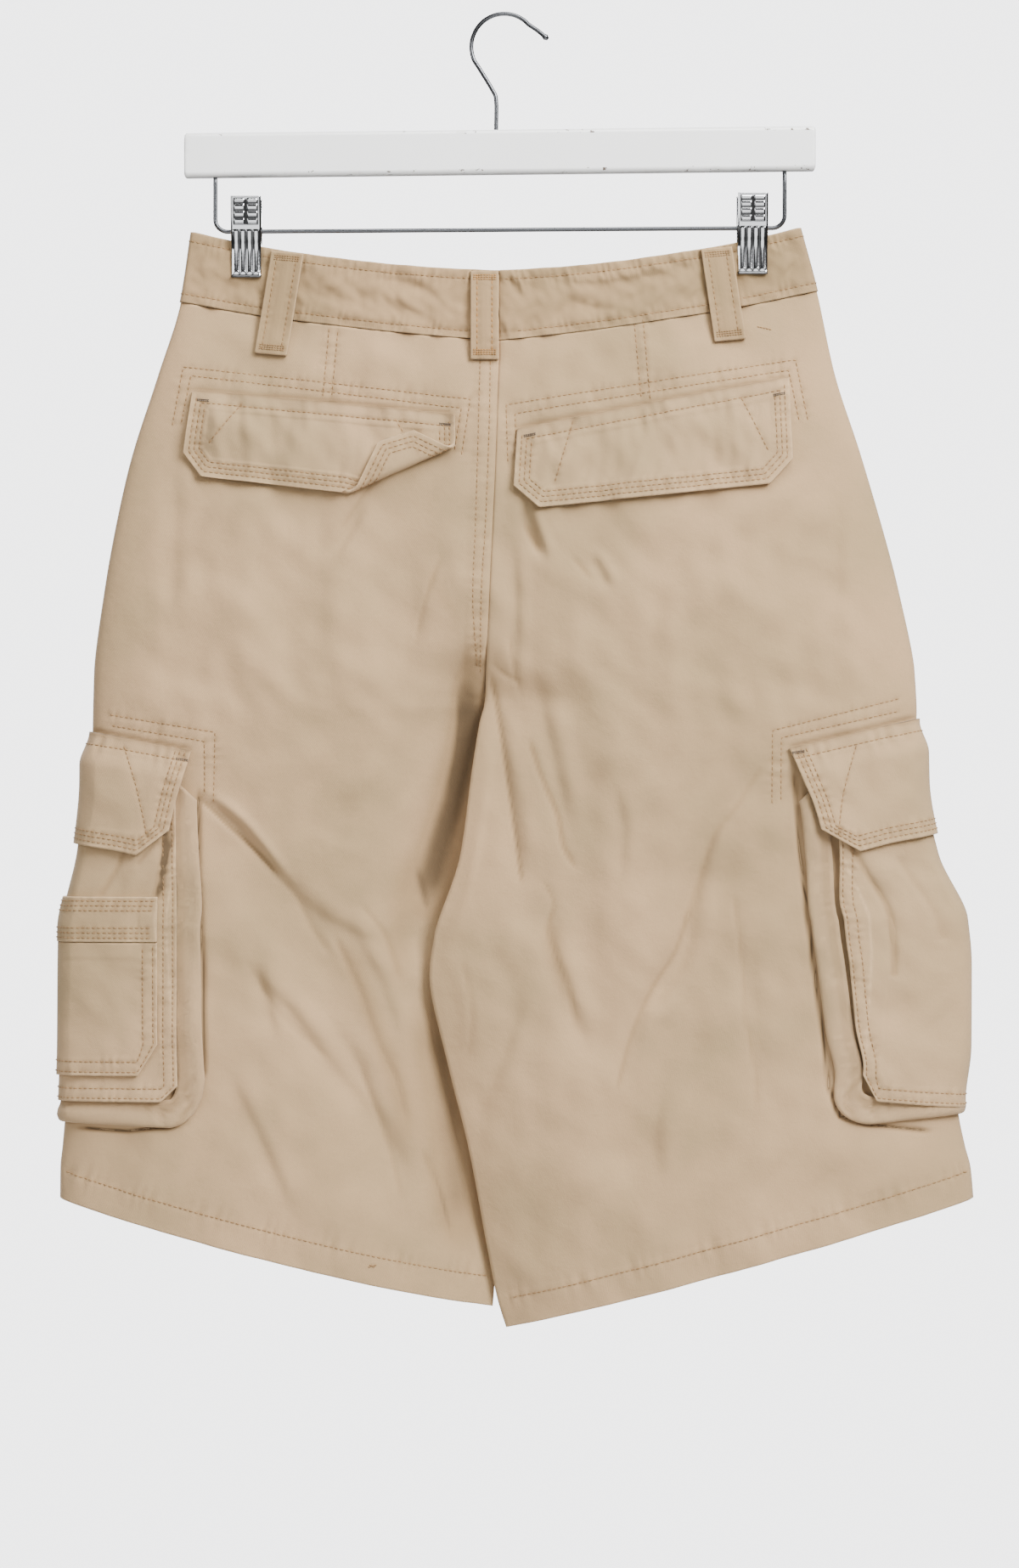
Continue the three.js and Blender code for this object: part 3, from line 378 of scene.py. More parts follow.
def addMesh(name, points, faces, attributes=None, weave=None):
    mesh = bpy.data.meshes.new(name)
    mesh.from_pydata(points.reshape(-1, 3) * mm, [], [f for block in faces for f in block.tolist()])
    mesh.polygons.foreach_set("use_smooth", np.ones(len(mesh.polygons), bool))
    for key, values in (attributes or {}).items():
        layer = mesh.attributes.new(key, "FLOAT", "POINT")
        layer.data.foreach_set("value", np.ravel(values).astype(np.float32))
    if weave is not None:
        corner = np.empty(len(mesh.loops), np.int32)
        mesh.loops.foreach_get("vertex_index", corner)
        layer = mesh.uv_layers.new(name="weave")
        layer.data.foreach_set("uv", (weave.reshape(-1, 2) * mm)[corner].ravel().astype(np.float32))
    mesh.validate()
    mesh.update()
    piece = bpy.data.objects.new(name, mesh)
    bpy.context.scene.collection.objects.link(piece)
    return piece


def facingOut(points, faces):  # turns all faces round where they enclose a negative volume
    flat = points.reshape(-1, 3)
    volume = 0.0
    for block in faces:
        a, b, c = (flat[block[:, i]] for i in range(3))
        volume += np.einsum("ij,ij->", a, np.cross(b, c))
        if block.shape[1] == 4:
            d = flat[block[:, 3]]
            volume += np.einsum("ij,ij->", a, np.cross(c, d))
    return faces if volume > 0 else [block[:, ::-1] for block in faces]


def gridQuads(rows, columns, start=0):
    i, j = np.meshgrid(np.arange(rows - 1), np.arange(columns - 1), indexing="ij")
    a = (start + i * columns + j).ravel()
    return np.stack([a, a + 1, a + columns + 1, a + columns], axis=1)


# A closed wall: a fine outer grid and an inner one with every second line, joined round the rim by
# three triangles for each pair of fine edges.
def closedWall(name, outer, inner, attributes, weave):
    rows, columns = outer.shape[:2]
    inRows, inColumns = inner.shape[:2]
    start = rows * columns
    fine = np.arange(start).reshape(rows, columns)
    coarse = start + np.arange(inRows * inColumns).reshape(inRows, inColumns)
    faces = [gridQuads(rows, columns), gridQuads(inRows, inColumns, start)[:, ::-1]]
    edges = [
        (fine[0], coarse[0]), (fine[:, -1], coarse[:, -1]),
        (fine[-1][::-1], coarse[-1][::-1]), (fine[::-1, 0], coarse[::-1, 0]),
    ]
    for f, c in edges:
        faces.append(np.stack([f[1:-1:2], f[0:-2:2], c[:-1]], axis=1))
        faces.append(np.stack([f[1:-1:2], c[:-1], c[1:]], axis=1))
        faces.append(np.stack([f[2::2], f[1:-1:2], c[1:]], axis=1))
    points = np.concatenate([outer.reshape(-1, 3), inner.reshape(-1, 3)])
    both = {key: np.concatenate([np.ravel(t), np.ravel(t[::2, ::2])]) for key, t in attributes.items()}
    allWeave = np.concatenate([weave.reshape(-1, 2), weave[::2, ::2].reshape(-1, 2)])
    return addMesh(name, points, facingOut(points, faces), both, allWeave)


def weaveOf(points):  # lengths across and down the cloth from its first corner, in mm
    across = np.linalg.norm(np.diff(points, axis=1), axis=2)
    down = np.linalg.norm(np.diff(points, axis=0), axis=2)
    u = np.pad(np.cumsum(across, axis=1), ((0, 0), (1, 0)))
    v = np.pad(np.cumsum(down, axis=0), ((1, 0), (0, 0)))
    return np.stack([u, v], axis=-1)


def tube(name, rings, attributes=None):  # closes a stack of rings into a body, with a point at each end
    count, around = rings.shape[:2]
    ends = np.stack([rings[0].mean(axis=0), rings[-1].mean(axis=0)])
    points = np.concatenate([rings.reshape(-1, 3), ends])
    i, k = np.meshgrid(np.arange(count - 1), np.arange(around), indexing="ij")
    nextK = (k + 1) % around
    here, below = i * around, (i + 1) * around
    quads = np.stack([here + k, here + nextK, below + nextK, below + k], axis=-1)
    one = np.arange(around)
    two = (one + 1) % around
    first = np.stack([np.full(around, count * around), two, one], axis=1)
    last = np.stack([np.full(around, count * around + 1), (count - 1) * around + one,
                     (count - 1) * around + two], axis=1)
    return addMesh(name, points, facingOut(points, [quads.reshape(-1, 4), first, last]), attributes)


def wireRings(path, radius, sides=16):  # circles across a path that lies in a plane of constant y
    path = np.array(path, float)
    ahead = np.gradient(path, axis=0)
    ahead /= np.linalg.norm(ahead, axis=1)[:, None]
    first = np.array([0.0, 1.0, 0.0]) - ahead * ahead[:, 1:2]
    first /= np.linalg.norm(first, axis=1)[:, None]
    second = np.cross(ahead, first)
    turn = np.linspace(0, 2 * np.pi, sides, endpoint=False)
    radius = np.broadcast_to(radius, len(path))[:, None, None]
    circle = np.cos(turn)[None, :, None] * first[:, None] + np.sin(turn)[None, :, None] * second[:, None]
    return path[:, None] + radius * circle


# Sewing. A row of stitches is a path in a piece's own flat coordinates, and pulls the cloth in.

def pucker(reach, period, seed):  # uneven ripples along a seam: a sine whose pitch and height wander
    wander = 1.7 * np.sin(2 * np.pi * reach / (3.7 * period) + seed)
    height = 0.6 + 0.4 * np.sin(2 * np.pi * reach / (5.3 * period) + 2.3 * seed)
    return height * np.sin(2 * np.pi * reach / period + wander + seed)


plainRow = {"pucker": 0.3, "period": 6.5, "spread": 4.0, "seed": 0, "groove": 0.3, "grooveWidth": 1.1}
# how rows tint the cloth: paler ripple crests from wear and painted light, painted shade in the troughs and
# along the thread
rowLightAndShade = {"crest": 0.5, "trough": 0.45, "threadShade": 0.5, "threadShadeWidth": 1.2}
ridgeSlope = 1.6


# Height that rows of stitches give: a narrow groove at each row, and ripples that fade over spread.
# Ridges, such as folded seam allowances, raise a band of the cloth.
def sewnRelief(a, b, rows, ridges=()):
    height = np.zeros(np.shape(a))
    wearAndShade = np.zeros(np.shape(a))
    for index, settings in enumerate(rows):
        row = {**plainRow, **settings}
        near = nearPath(a, b, row["path"], 3 * row["spread"])
        if not near.any():
            continue
        away, _, reach, _ = alongPath(a[near], b[near], row["path"])
        ripple = pucker(reach, row["period"], index + row["seed"])
        fade = bell(away, row["spread"])
        groove = row["groove"] * bell(away, row["grooveWidth"])
        height[near] += row["pucker"] * ripple * fade - groove
        # painted light on the ripples' crests, as well as wear, and painted shade in their troughs and along
        # each row's thread
        wearAndShade[near] += rowLightAndShade["crest"] * clamp01(ripple) * fade - rowLightAndShade["trough"] * clamp01(-ripple) * fade
        wearAndShade[near] -= rowLightAndShade["threadShade"] * bell(away, rowLightAndShade["threadShadeWidth"])
    for path, reachOut, rise in ridges:
        near = nearPath(a, b, path, reachOut + 4)
        away = alongPath(a[near], b[near], path)[0]
        height[near] += rise * (1 - ease((away - reachOut) / ridgeSlope))
    return height, wearAndShade


stitch = {"pitch": 3.1, "gap": 0.6, "radius": 0.33, "sides": 4, "sink": 0.22, "step": 0.35, "tip": 0.45}


# Stitches along a path on a skin: each is a short spindle whose ends dip into the cloth.
def stitchesOn(skin, path, pitch=None, gap=None, radius=None, rise=0.12):
    pitch, gap, radius = pitch or stitch["pitch"], gap or stitch["gap"], radius or stitch["radius"]
    path = np.array(path, float)
    lengths = np.r_[0, np.cumsum(np.hypot(*np.diff(path, axis=0).T))]
    fine = np.linspace(0, lengths[-1], max(3, int(lengths[-1])))
    a, b = np.interp(fine, lengths, path[:, 0]), np.interp(fine, lengths, path[:, 1])
    line = skin(a, b, 0.0)
    real = np.r_[0, np.cumsum(np.linalg.norm(np.diff(line, axis=0), axis=1))]
    count = max(1, int((real[-1] + gap) / pitch))
    share = np.array([0, 0.3, 0.7, 1])
    at = np.arange(count)[:, None] * pitch + share * (pitch - gap)
    at = np.minimum(at + 0.5 * (real[-1] - count * pitch + gap), real[-1])
    a, b = np.interp(at, real, a), np.interp(at, real, b)
    step = stitch["step"]
    centre = skin(a, b, rise + np.array([-stitch["sink"], 0.0, 0.0, -stitch["sink"]]) * np.ones_like(a))
    overA = skin(a + step, b, 0.0) - skin(a - step, b, 0.0)
    overB = skin(a, b + step, 0.0) - skin(a, b - step, 0.0)
    out = skin(a, b, 1.0) - skin(a, b, 0.0)
    normal = np.cross(overA, overB)
    normal *= np.sign(np.sum(normal * out, axis=-1, keepdims=True))
    normal /= np.linalg.norm(normal, axis=-1, keepdims=True) + 1e-9
    ahead = (centre[:, -1] - centre[:, 0])[:, None]
    ahead = ahead / (np.linalg.norm(ahead, axis=-1, keepdims=True) + 1e-9)
    sideways = np.cross(ahead, normal)
    turn = np.linspace(0, 2 * np.pi, stitch["sides"], endpoint=False) + np.pi / 4
    thick = radius * np.array([stitch["tip"], 1.0, 1.0, stitch["tip"]])[None, :, None, None]
    ring = np.cos(turn)[:, None] * sideways[..., None, :] + np.sin(turn)[:, None] * normal[..., None, :]
    return centre[..., None, :] + thick * ring


def barTack(skin, start, end):  # one short, dense row
    return stitchesOn(skin, [start, end], pitch=1.2, gap=0.1, radius=0.34, rise=0.25)


def joinStitches(name, groups, material):  # all stitches of a piece in one mesh
    rings = np.concatenate(groups)
    count, sides = len(rings), stitch["sides"]
    one = np.arange(sides)
    two = (one + 1) % sides
    quads = np.concatenate([
        np.stack([r * sides + one, r * sides + two, (r + 1) * sides + two, (r + 1) * sides + one], axis=1)
        for r in range(3)
    ])
    caps = np.array([[3, 2, 1, 0], [12, 13, 14, 15]])
    local = np.concatenate([quads, caps])
    faces = (np.arange(count)[:, None, None] * 4 * sides + local).reshape(-1, 4)
    turned = facingOut(rings[0].reshape(-1, 3), [local])[0] is not local
    piece = addMesh(name, rings, [faces[:, ::-1] if turned else faces])
    piece.data.materials.append(material)
    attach(piece, "root")
    return piece


# Shader tools

class Value:  # one output socket; arithmetic on it adds Math nodes
    def __init__(self, shade, socket):
        self.shade, self.socket = shade, socket

    def maths(self, operation, a, b=None):
        return self.shade.node("ShaderNodeMath", {"operation": operation}, [a] if b is None else [a, b])

    def __add__(self, other):
        return self.maths("ADD", self, other)

    def __sub__(self, other):
        return self.maths("SUBTRACT", self, other)

    def __mul__(self, other):
        return self.maths("MULTIPLY", self, other)

    def __truediv__(self, other):
        return self.maths("DIVIDE", self, other)

    def __pow__(self, other):
        return self.maths("POWER", self, other)

    def __rsub__(self, other):
        return self.maths("SUBTRACT", other, self)

    __radd__ = __add__
    __rmul__ = __mul__

    def wave(self):
        return self.maths("SINE", self)

    def between(self, low, high):  # 0 at low, 1 at high
        settings = {"interpolation_type": "SMOOTHSTEP", "clamp": True}
        sockets = {"Value": self, "From Min": low, "From Max": high}
        return self.shade.node("ShaderNodeMapRange", settings, sockets)


class Shade:  # a material with its nodes
    def __init__(self, name):
        self.material = bpy.data.materials.new(name)
        self.material.use_nodes = True
        self.tree = self.material.node_tree
        self.surface = self.tree.nodes["Principled BSDF"]

    def node(self, kind, settings, sockets, output=0):
        made = self.tree.nodes.new(kind)
        for key, value in settings.items():
            if key == "stops":
                for stop, (position, colour) in zip(made.color_ramp.elements, value):
                    stop.position, stop.color = position, (*colour, 1)
            else:
                setattr(made, key, value)
        for key, value in (sockets.items() if isinstance(sockets, dict) else enumerate(sockets)):
            self.put(made.inputs[key], value)
        return Value(self, made.outputs[output])

    def put(self, socket, value):
        if isinstance(value, Value):
            self.tree.links.new(value.socket, socket)
        elif isinstance(value, tuple) and len(value) == 3 and socket.type == "RGBA":
            socket.default_value = (*value, 1)
        else:
            socket.default_value = value

    def finish(self, **values):
        for key, value in values.items():
            self.put(self.surface.inputs[key.replace("_", " ")], value)
        return self.material

    def place(self):
        return self.node("ShaderNodeTexCoord", {}, {}, 3)

    def noise(self, vector, scale, detail=2.0, rough=0.5):
        sockets = {"Vector": vector, "Scale": scale, "Detail": detail, "Roughness": rough}
        return self.node("ShaderNodeTexNoise", {"noise_dimensions": "3D"}, sockets)

    def blend(self, share, a, b):
        made = self.tree.nodes.new("ShaderNodeMix")
        made.data_type = "RGBA"
        self.put(made.inputs[0], share)
        self.put(made.inputs[6], a)
        self.put(made.inputs[7], b)
        return Value(self, made.outputs[2])

    def attribute(self, name):
        return self.node("ShaderNodeAttribute", {"attribute_name": name}, {}, 2)

    def bump(self, height, distance, strength=1.0):
        inputs = {"Strength": strength, "Distance": distance, "Height": height}
        return self.node("ShaderNodeBump", {}, inputs)


def linear(*levels):  # linear light of a colour given in 0 to 255 levels
    share = np.array(levels) / 255
    curve = np.where(share <= 0.04045, share / 12.92, ((share + 0.055) / 1.055) ** 2.4)
    return tuple(float(t) for t in curve)


twill = {
    "pitch": 0.00085, "slant": 0.52,  # m between the ribs
    "patches": 9.0, "mottle": 34.0, "crinkle": 120.0, "fray": 260.0, "speckle": 1500.0,
    "dull": (0.84, 0.87, 0.85), "pale": (1.12, 1.09, 1.11), "shadeTint": (0.66, 0.62, 0.56),
}


def tinted(colour, tint):
    return tuple(c * t for c, t in zip(colour, tint))


# Washed cotton twill: patches of colour, speckle of the yarns, slanted ribs, lighter edges from wear and
# painted light, and painted shade that darkens creases, grooves and gaps, near black in the darkest.
def twillCloth(name, colour):
    shade = Shade(name)
    place = shade.place()
    weave = shade.node("ShaderNodeUVMap", {"uv_map": "weave"}, {})
    axes = shade.tree.nodes.new("ShaderNodeSeparateXYZ")
    shade.put(axes.inputs[0], weave)
    across, down = Value(shade, axes.outputs[0]), Value(shade, axes.outputs[1])
    ribs = ((across + down * twill["slant"]) * (2 * np.pi / twill["pitch"])).wave()
    patches = shade.noise(place, twill["patches"], 3.0)
    mottle = shade.noise(place, twill["mottle"], 5.0, 0.6)
    speckle = shade.noise(place, twill["speckle"], 2.0)
    dull, pale, shadeTint = (tinted(colour, twill[key]) for key in ("dull", "pale", "shadeTint"))
    # a paler tone for worn edges, and for the painted highlight on pucker crests and folded gusset edges
    wornAndLit = tuple(min(1.0, c * 1.35 + 0.03) for c in colour)
    base = shade.blend(patches.between(0.3, 0.7), dull, pale)
    base = shade.blend(mottle.between(0.35, 0.75) * 0.35, base, pale)
    base = shade.blend(speckle.between(0.35, 0.65) * 0.2, base, dull)
    # above 0: paler from wear, with painted light on pucker crests and folded edges; below 0: painted shade
    wearAndShade = shade.attribute("wearAndShade")
    ragged = wearAndShade * (0.55 + 0.9 * shade.noise(place, twill["fray"], 3.0))
    base = shade.blend(ragged.between(0.1, 1.0) * 0.5, base, wornAndLit)
    # painted shade: darker below 0, near black below -1 in the deepest creases and gaps
    base = shade.blend((wearAndShade * -1.0).between(0.0, 1.0) * 0.6, base, shadeTint)
    base = shade.blend((wearAndShade * -1.0).between(1.0, 2.2) * 0.9, base, tuple(c * 0.3 for c in shadeTint))
    crinkle = shade.noise(place, twill["crinkle"], 4.0, 0.55)
    height = crinkle * 0.55 + ribs * 0.018 + speckle * 0.08
    rough = 0.82 + 0.12 * mottle
    return shade.finish(
        Base_Color=base, Roughness=rough, Normal=shade.bump(height, 0.0011, 0.8),
        Sheen_Weight=0.12, Sheen_Roughness=0.5, Specular_IOR_Level=0.25,
    )


legCloth = twillCloth("leg_twill", (0.398, 0.265, 0.140))
bandCloth = twillCloth("waistband_twill", (0.318, 0.209, 0.105))
pocketCloth = twillCloth("pocket_twill", (0.402, 0.270, 0.144))


def cottonThread(name, colour):  # spun thread: fine twist across it and uneven dye
    shade = Shade(name)
    place = shade.place()
    dye = shade.noise(place, 300.0, 2.0)
    darker, lighter = (tuple(c * share for c in colour) for share in (0.75, 1.15))
    base = shade.blend(dye.between(0.3, 0.7), darker, lighter)
    twist = shade.noise(place, 2600.0, 1.0)
    return shade.finish(Base_Color=base, Roughness=0.7 + 0.1 * dye, Normal=shade.bump(twist, 0.0002, 0.6))


tanThread = cottonThread("tan_thread", linear(146, 112, 72))
amberThread = cottonThread("amber_thread", linear(172, 122, 62))
darkThread = cottonThread("dark_thread", linear(96, 84, 74))
print("materials ready")


# Cloth pieces

def dress(piece, nodes, material):
    piece.data.materials.append(material)
    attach(piece, "root")
    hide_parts(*nodes)
    return piece


# A piece that lies on the shorts: skin(a, b, extra) is its outer face moved out by extra.
def sewnPiece(name, nodes, material, skin, a, b, wall, wearAndShade, flat):
    outer = skin(a, b, 0.0)
    inner = skin(a[::2, ::2], b[::2, ::2], -wall)
    piece = closedWall(name, outer, inner, {"wearAndShade": wearAndShade}, weaveOf(outer))
    return dress(piece, nodes, material)


panelStep = {back: 1.45, front: 2.9}
hemForm = {"row": 16.5, "rise": 0.45, "slope": 1.5, "pale": 0.9, "paleOver": 1.3}


def hemPath(side, face, above):  # x, z places a set distance above the hem
    u = np.linspace(0.012, 0.985, 60)
    edge = clothPoint(side, face, u, clothForm["hem"])
    return np.stack([edge[:, 0], edge[:, 2] + above], axis=1)


centreSeam = [(-3, -185), (-4, -217), (-5.3, -260), (-8.2, -322), (-10.6, -378)]
panelRows = {
    ("left", back): [
        {"path": smoothPath([(-7.6, -186), (-8.6, -238), (-10.4, -286), (-12.8, -326), (-13.4, -372)]),
         "pucker": 0.22},
        {"path": smoothPath([(-13.4, -186), (-14.6, -238), (-16, -286), (-17.6, -330), (-15.2, -368)]),
         "pucker": 0.22},
        {"path": np.array([(-98.5, -177), (-102, -217)]), "pucker": 0.3},
        {"path": np.array([(-93.5, -178), (-97, -217)]), "pucker": 0.2},
        {"path": np.array([(-187, -233), (-181, -199), (-19, -218), (-24, -250)]), "pucker": 0.3},
        {"path": np.array([(-182, -232), (-176.5, -204), (-24, -223), (-28, -248)]), "pucker": 0.25},
        {"path": np.array([(-222, -395), (-162, -405), (-163, -444)]), "pucker": 0.3},
        {"path": np.array([(-222, -401), (-168, -410), (-168, -440)]), "pucker": 0.25},
    ],
    ("right", back): [
        {"path": np.array([(78, -172), (82, -218)]), "pucker": 0.3},
        {"path": np.array([(73, -173), (77, -218)]), "pucker": 0.2},
        {"path": np.array([(2, -254), (1, -221), (164, -195), (171, -230)]), "pucker": 0.3},
        {"path": np.array([(7, -253), (6, -226), (160, -201), (166, -230)]), "pucker": 0.25},
        {"path": np.array([(222, -386), (150, -404), (150, -445)]), "pucker": 0.3},
        {"path": np.array([(222, -393), (155, -408), (155, -444)]), "pucker": 0.25},
    ],
    ("left", front): [
        {"path": smoothPath([(-41, -186), (-41, -290), (-34, -322), (-18, -340), (-5, -346)]),
         "pucker": 0.25},
        {"path": smoothPath([(-36, -186), (-36, -288), (-30, -316), (-16, -333), (-5, -338)]),
         "pucker": 0.2},
    ],
    ("right", front): [],
}
for side in (left, right):
    for face in (back, front):
        hemRow = {"path": hemPath(side, face, hemForm["row"]), "pucker": 0.6, "period": 7.0, "spread": 7.0}
        panelRows[side["name"], face].append(hemRow)
panelRidges = {
    ("left", back): [
        (np.array(centreSeam) + (-5.5, 0), 5.5, 0.5),
        (np.array([(-98.5, -177), (-102, -217)]), 2, 0.35),
    ],
    ("right", back): [(np.array([(78, -172), (82, -218)]), 2, 0.35)],
    ("left", front): [],
    ("right", front): [],
}
panelGrooves = {  # path, width, depth, shadow: where a pocket's strip or a flap's top edge draws the leg in; shadow is painted shade in the colour, and rows of no depth are painted shade alone, such as the dark valley beside the crotch
    ("left", back): [
        (np.array([(-171.6, -438), (-171.8, -485), (-168.8, -536), (-168.6, -595), (-175.8, -613),
                   (-186.5, -625), (-211, -628.6), (-240, -627)]), 1.3, 1.6, 2.2),
        (np.array([(-176, -211.6), (-27.5, -225.8)]), 1.0, 0.7, 1.5),
        (np.array([(-233, -403.6), (-174.6, -414.6)]), 1.0, 0.7, 1.5),
        (smoothPath([(-12, -364), (-20, -404), (-28, -440), (-38, -474), (-47, -520)]), 11.0, 0.0, 2.2),
        (smoothPath([(-44, -540), (-35, -600), (-28, -650), (-22, -712)]), 14.0, 0.0, 1.5),
        (smoothPath([(-18, -346), (-20, -372), (-23, -398)]), 6.0, 0.0, 0.9),
        (smoothPath([(-54, -462), (-60, -510), (-56, -556)]), 8.0, 0.0, 0.6),
        (smoothPath([(-92, -516), (-76, -560), (-62, -600), (-52, -645)]), 7.0, 0.0, 0.8),
        (smoothPath([(-20, -346), (-34, -330), (-46, -306)]), 5.0, 0.0, 0.5),
    ],
    ("right", back): [
        (np.array([(162.6, -428), (165.8, -473), (172.0, -523.4), (178.8, -575.8), (182.0, -604),
                   (188.4, -620), (206, -625), (240, -629)]), 1.3, 1.6, 2.2),
        (np.array([(6.8, -233.8), (160.2, -204.3)]), 1.0, 0.7, 1.5),
        (np.array([(232, -396.2), (159, -413.2)]), 1.0, 0.7, 1.5),
        (smoothPath([(30, -500), (28, -524), (34, -546), (40, -566)]), 7.0, 0.0, 0.7),
    ],
    ("left", front): [],
    ("right", front): [],
}
fineCreases = [  # side, face, width, depth, shadow, path: thin sharp lines in the bottom of folds
    (left, back, 0.8, 0.9, 1.5, [(-171, -441.5), (-155, -457), (-144, -467), (-133, -478), (-127, -485.5)]),
    (left, back, 1.5, 0.9, 0.5, [(-126.7, -485.7), (-117, -497), (-107, -517), (-97, -531)]),
    (left, back, 1.2, 0.5, 0.25, [(-145, -533), (-130.7, -556.4), (-119.6, -569.7), (-100, -588)]),
    (left, back, 1.4, 0.9, 0.5, [(-96, -518), (-81.5, -550), (-71, -579), (-60, -603), (-55, -625)]),
    (left, back, 1.2, 0.8, 0.5, [(-81.5, -501), (-67.3, -518.6), (-58, -545)]),
    (left, back, 1.4, 0.8, 0.4, [(-50, -480), (-46, -494), (-43, -510)]),
    (left, back, 2.6, 0.2, 0.6, [(-25, -366), (-26, -385), (-24, -400), (-25, -421), (-30, -438)]),
    (left, back, 1.2, 0.7, 0.5, [(-35.5, -306.4), (-44.4, -331.2), (-49.7, -354.1)]),
    (left, back, 1.1, 0.6, 0.5, [(-72, -262), (-82, -276), (-92, -292)]),
    (left, back, 1.2, 0.7, 0.5, [(-81.5, -592.9), (-70.9, -621.2), (-62, -649.5), (-58, -668)]),
    (left, back, 1.2, 0.7, 0.6, [(-46, -640), (-37, -662), (-30, -690)]),
    (right, back, 1.0, 1.0, 1.6, [(-7.5, -373), (-3, -396), (1, -423), (4, -444), (8, -473), (10, -490)]),
    (right, back, 1.1, 1.0, 1.4,
     [(14, -409), (21.1, -430.2), (29.9, -451.4), (33.5, -469.1), (40.5, -481.5)]),
    (right, back, 1.1, 0.8, 0.7,
     [(21, -487), (28, -501), (24.5, -515), (30, -533), (37, -550), (40.5, -572)]),
    (right, back, 1.0, 0.7, 0.7, [(-6.5, -366), (0, -372), (9, -377)]),
    (right, back, 1.0, 0.7, 0.6, [(3, -350), (5, -366), (10, -385)]),
    (right, back, 1.5, 0.9, 0.5, [(145, -423), (129, -448), (118.5, -462), (109.5, -487), (100.5, -515)]),
    (right, back, 1.3, 1.0, 0.8,
     [(104, -505), (95.5, -529), (85, -545), (76, -563), (69, -582), (63, -607)]),
    (right, back, 1.1, 0.7, 0.6, [(129, -497), (133.5, -536), (135, -565), (140.5, -593), (141.5, -618)]),
    (right, back, 1.3, 1.1, 1.2, [(11, -285), (13.4, -292.1), (21.1, -306.5)]),
    (right, back, 1.1, 0.8, 0.8, [(37, -306.5), (43, -312), (49.4, -320.5)]),
    (right, back, 1.2, 0.6, 0.5, [(-24, -532), (-18, -560), (-20, -590)]),
    (left, front, 1.2, 0.8, 0.7, [(-14, -372), (-34, -392), (-62, -408)]),
    (left, front, 1.3, 0.8, 0.5, [(-140, -505), (-118, -552), (-98, -610)]),
    (left, front, 1.2, 0.7, 0.5, [(-60, -474), (-66, -536), (-56, -590)]),
    (right, front, 1.2, 0.8, 0.7, [(14, -370), (36, -392), (66, -412)]),
    (right, front, 1.3, 0.8, 0.5, [(134, -512), (118, -562), (92, -620)]),
    (right, front, 1.2, 0.7, 0.5, [(50, -484), (58, -530), (53, -596)]),
]
creaseSpread = 1.35  # no narrower than the panel's grid can carry
for side, face, width, depth, shadow, path in fineCreases:
    panelGrooves[side["name"], face].append((smoothPath(path, 5), width * creaseSpread, depth, shadow))


grooveEnds = {"before": 3, "taper": 5.8, "widthShare": 3.2}  # a wide groove fades out over a longer stretch


def panelRelief(side, face, x, z, aboveHem):
    key = (side["name"], face)
    height, wearAndShade = sewnRelief(x, z, panelRows[key], panelRidges[key])
    for path, width, depth, shadow in panelGrooves[key]:
        near = nearPath(x, z, path, 4 * width)
        away, _, reach, length = alongPath(x[near], z[near], path)
        taper = grooveEnds["taper"] + grooveEnds["widthShare"] * width
        start = ease((reach + grooveEnds["before"]) / taper)
        end = ease((length - reach + grooveEnds["before"]) / taper)
        groove = bell(away, width) * start * end
        height[near] -= depth * groove
        # painted shade along the groove
        wearAndShade[near] -= shadow * groove
    turnedUp = 1 - ease((aboveHem - hemForm["row"]) / hemForm["slope"])  # the hem's cloth is double
    height = height + hemForm["rise"] * turnedUp
    wearAndShade = wearAndShade + hemForm["pale"] * np.exp(-aboveHem / hemForm["paleOver"]) * (aboveHem > -1)
    return height, wearAndShade


def panelSkin(side, face):  # the panel's outer face over x, z
    def skin(x, z, extra):
        u, v = placeOn(side, z, x=x)
        hemZ = clothPoint(side, face, u, clothForm["hem"])[..., 2]
        height, _ = panelRelief(side, face, np.asarray(x, float), np.asarray(z, float), z - hemZ)
        return clothPoint(side, face, u, v, height + extra)
    return skin


def panelPiece(side, face):
    step = panelStep[face]
    fineV = np.linspace(clothForm["bandEnd"] + 0.005, clothForm["hem"], 900)
    down = np.r_[0, np.cumsum(np.linalg.norm(np.diff(clothPoint(side, face, 0.5, fineV), axis=0), axis=1))]
    v = np.interp(evenly(down, step), down, fineV)
    fineU = np.linspace(0, 1, 1500)
    across = np.r_[0, np.cumsum(np.linalg.norm(np.diff(clothPoint(side, face, fineU, 3.0), axis=0), axis=1))]
    u = np.interp(evenly(across, step), across, fineU)
    u, v = np.meshgrid(u, v)
    flatPlace = clothPoint(side, face, u, v)
    hemZ = clothPoint(side, face, u, clothForm["hem"])[..., 2]
    height, wearAndShade = panelRelief(side, face, flatPlace[..., 0], flatPlace[..., 2], flatPlace[..., 2] - hemZ)
    height = height * ease((1 - u) * 200 / 3)  # level at the side seam
    outer = clothPoint(side, face, u, v, height)
    thick = np.where(v > clothForm["hem"] - 1, clothForm["hemWall"], clothForm["wall"])
    inner = clothPoint(side, face, u, v, -thick)[::2, ::2]
    piece = closedWall(f"{faceNames[face]}_leg_{side['name']}", outer, inner, {"wearAndShade": wearAndShade}, weaveOf(outer))
    dress(piece, [f"{faceNames[face]}_panel_{side['name']}"], legCloth)


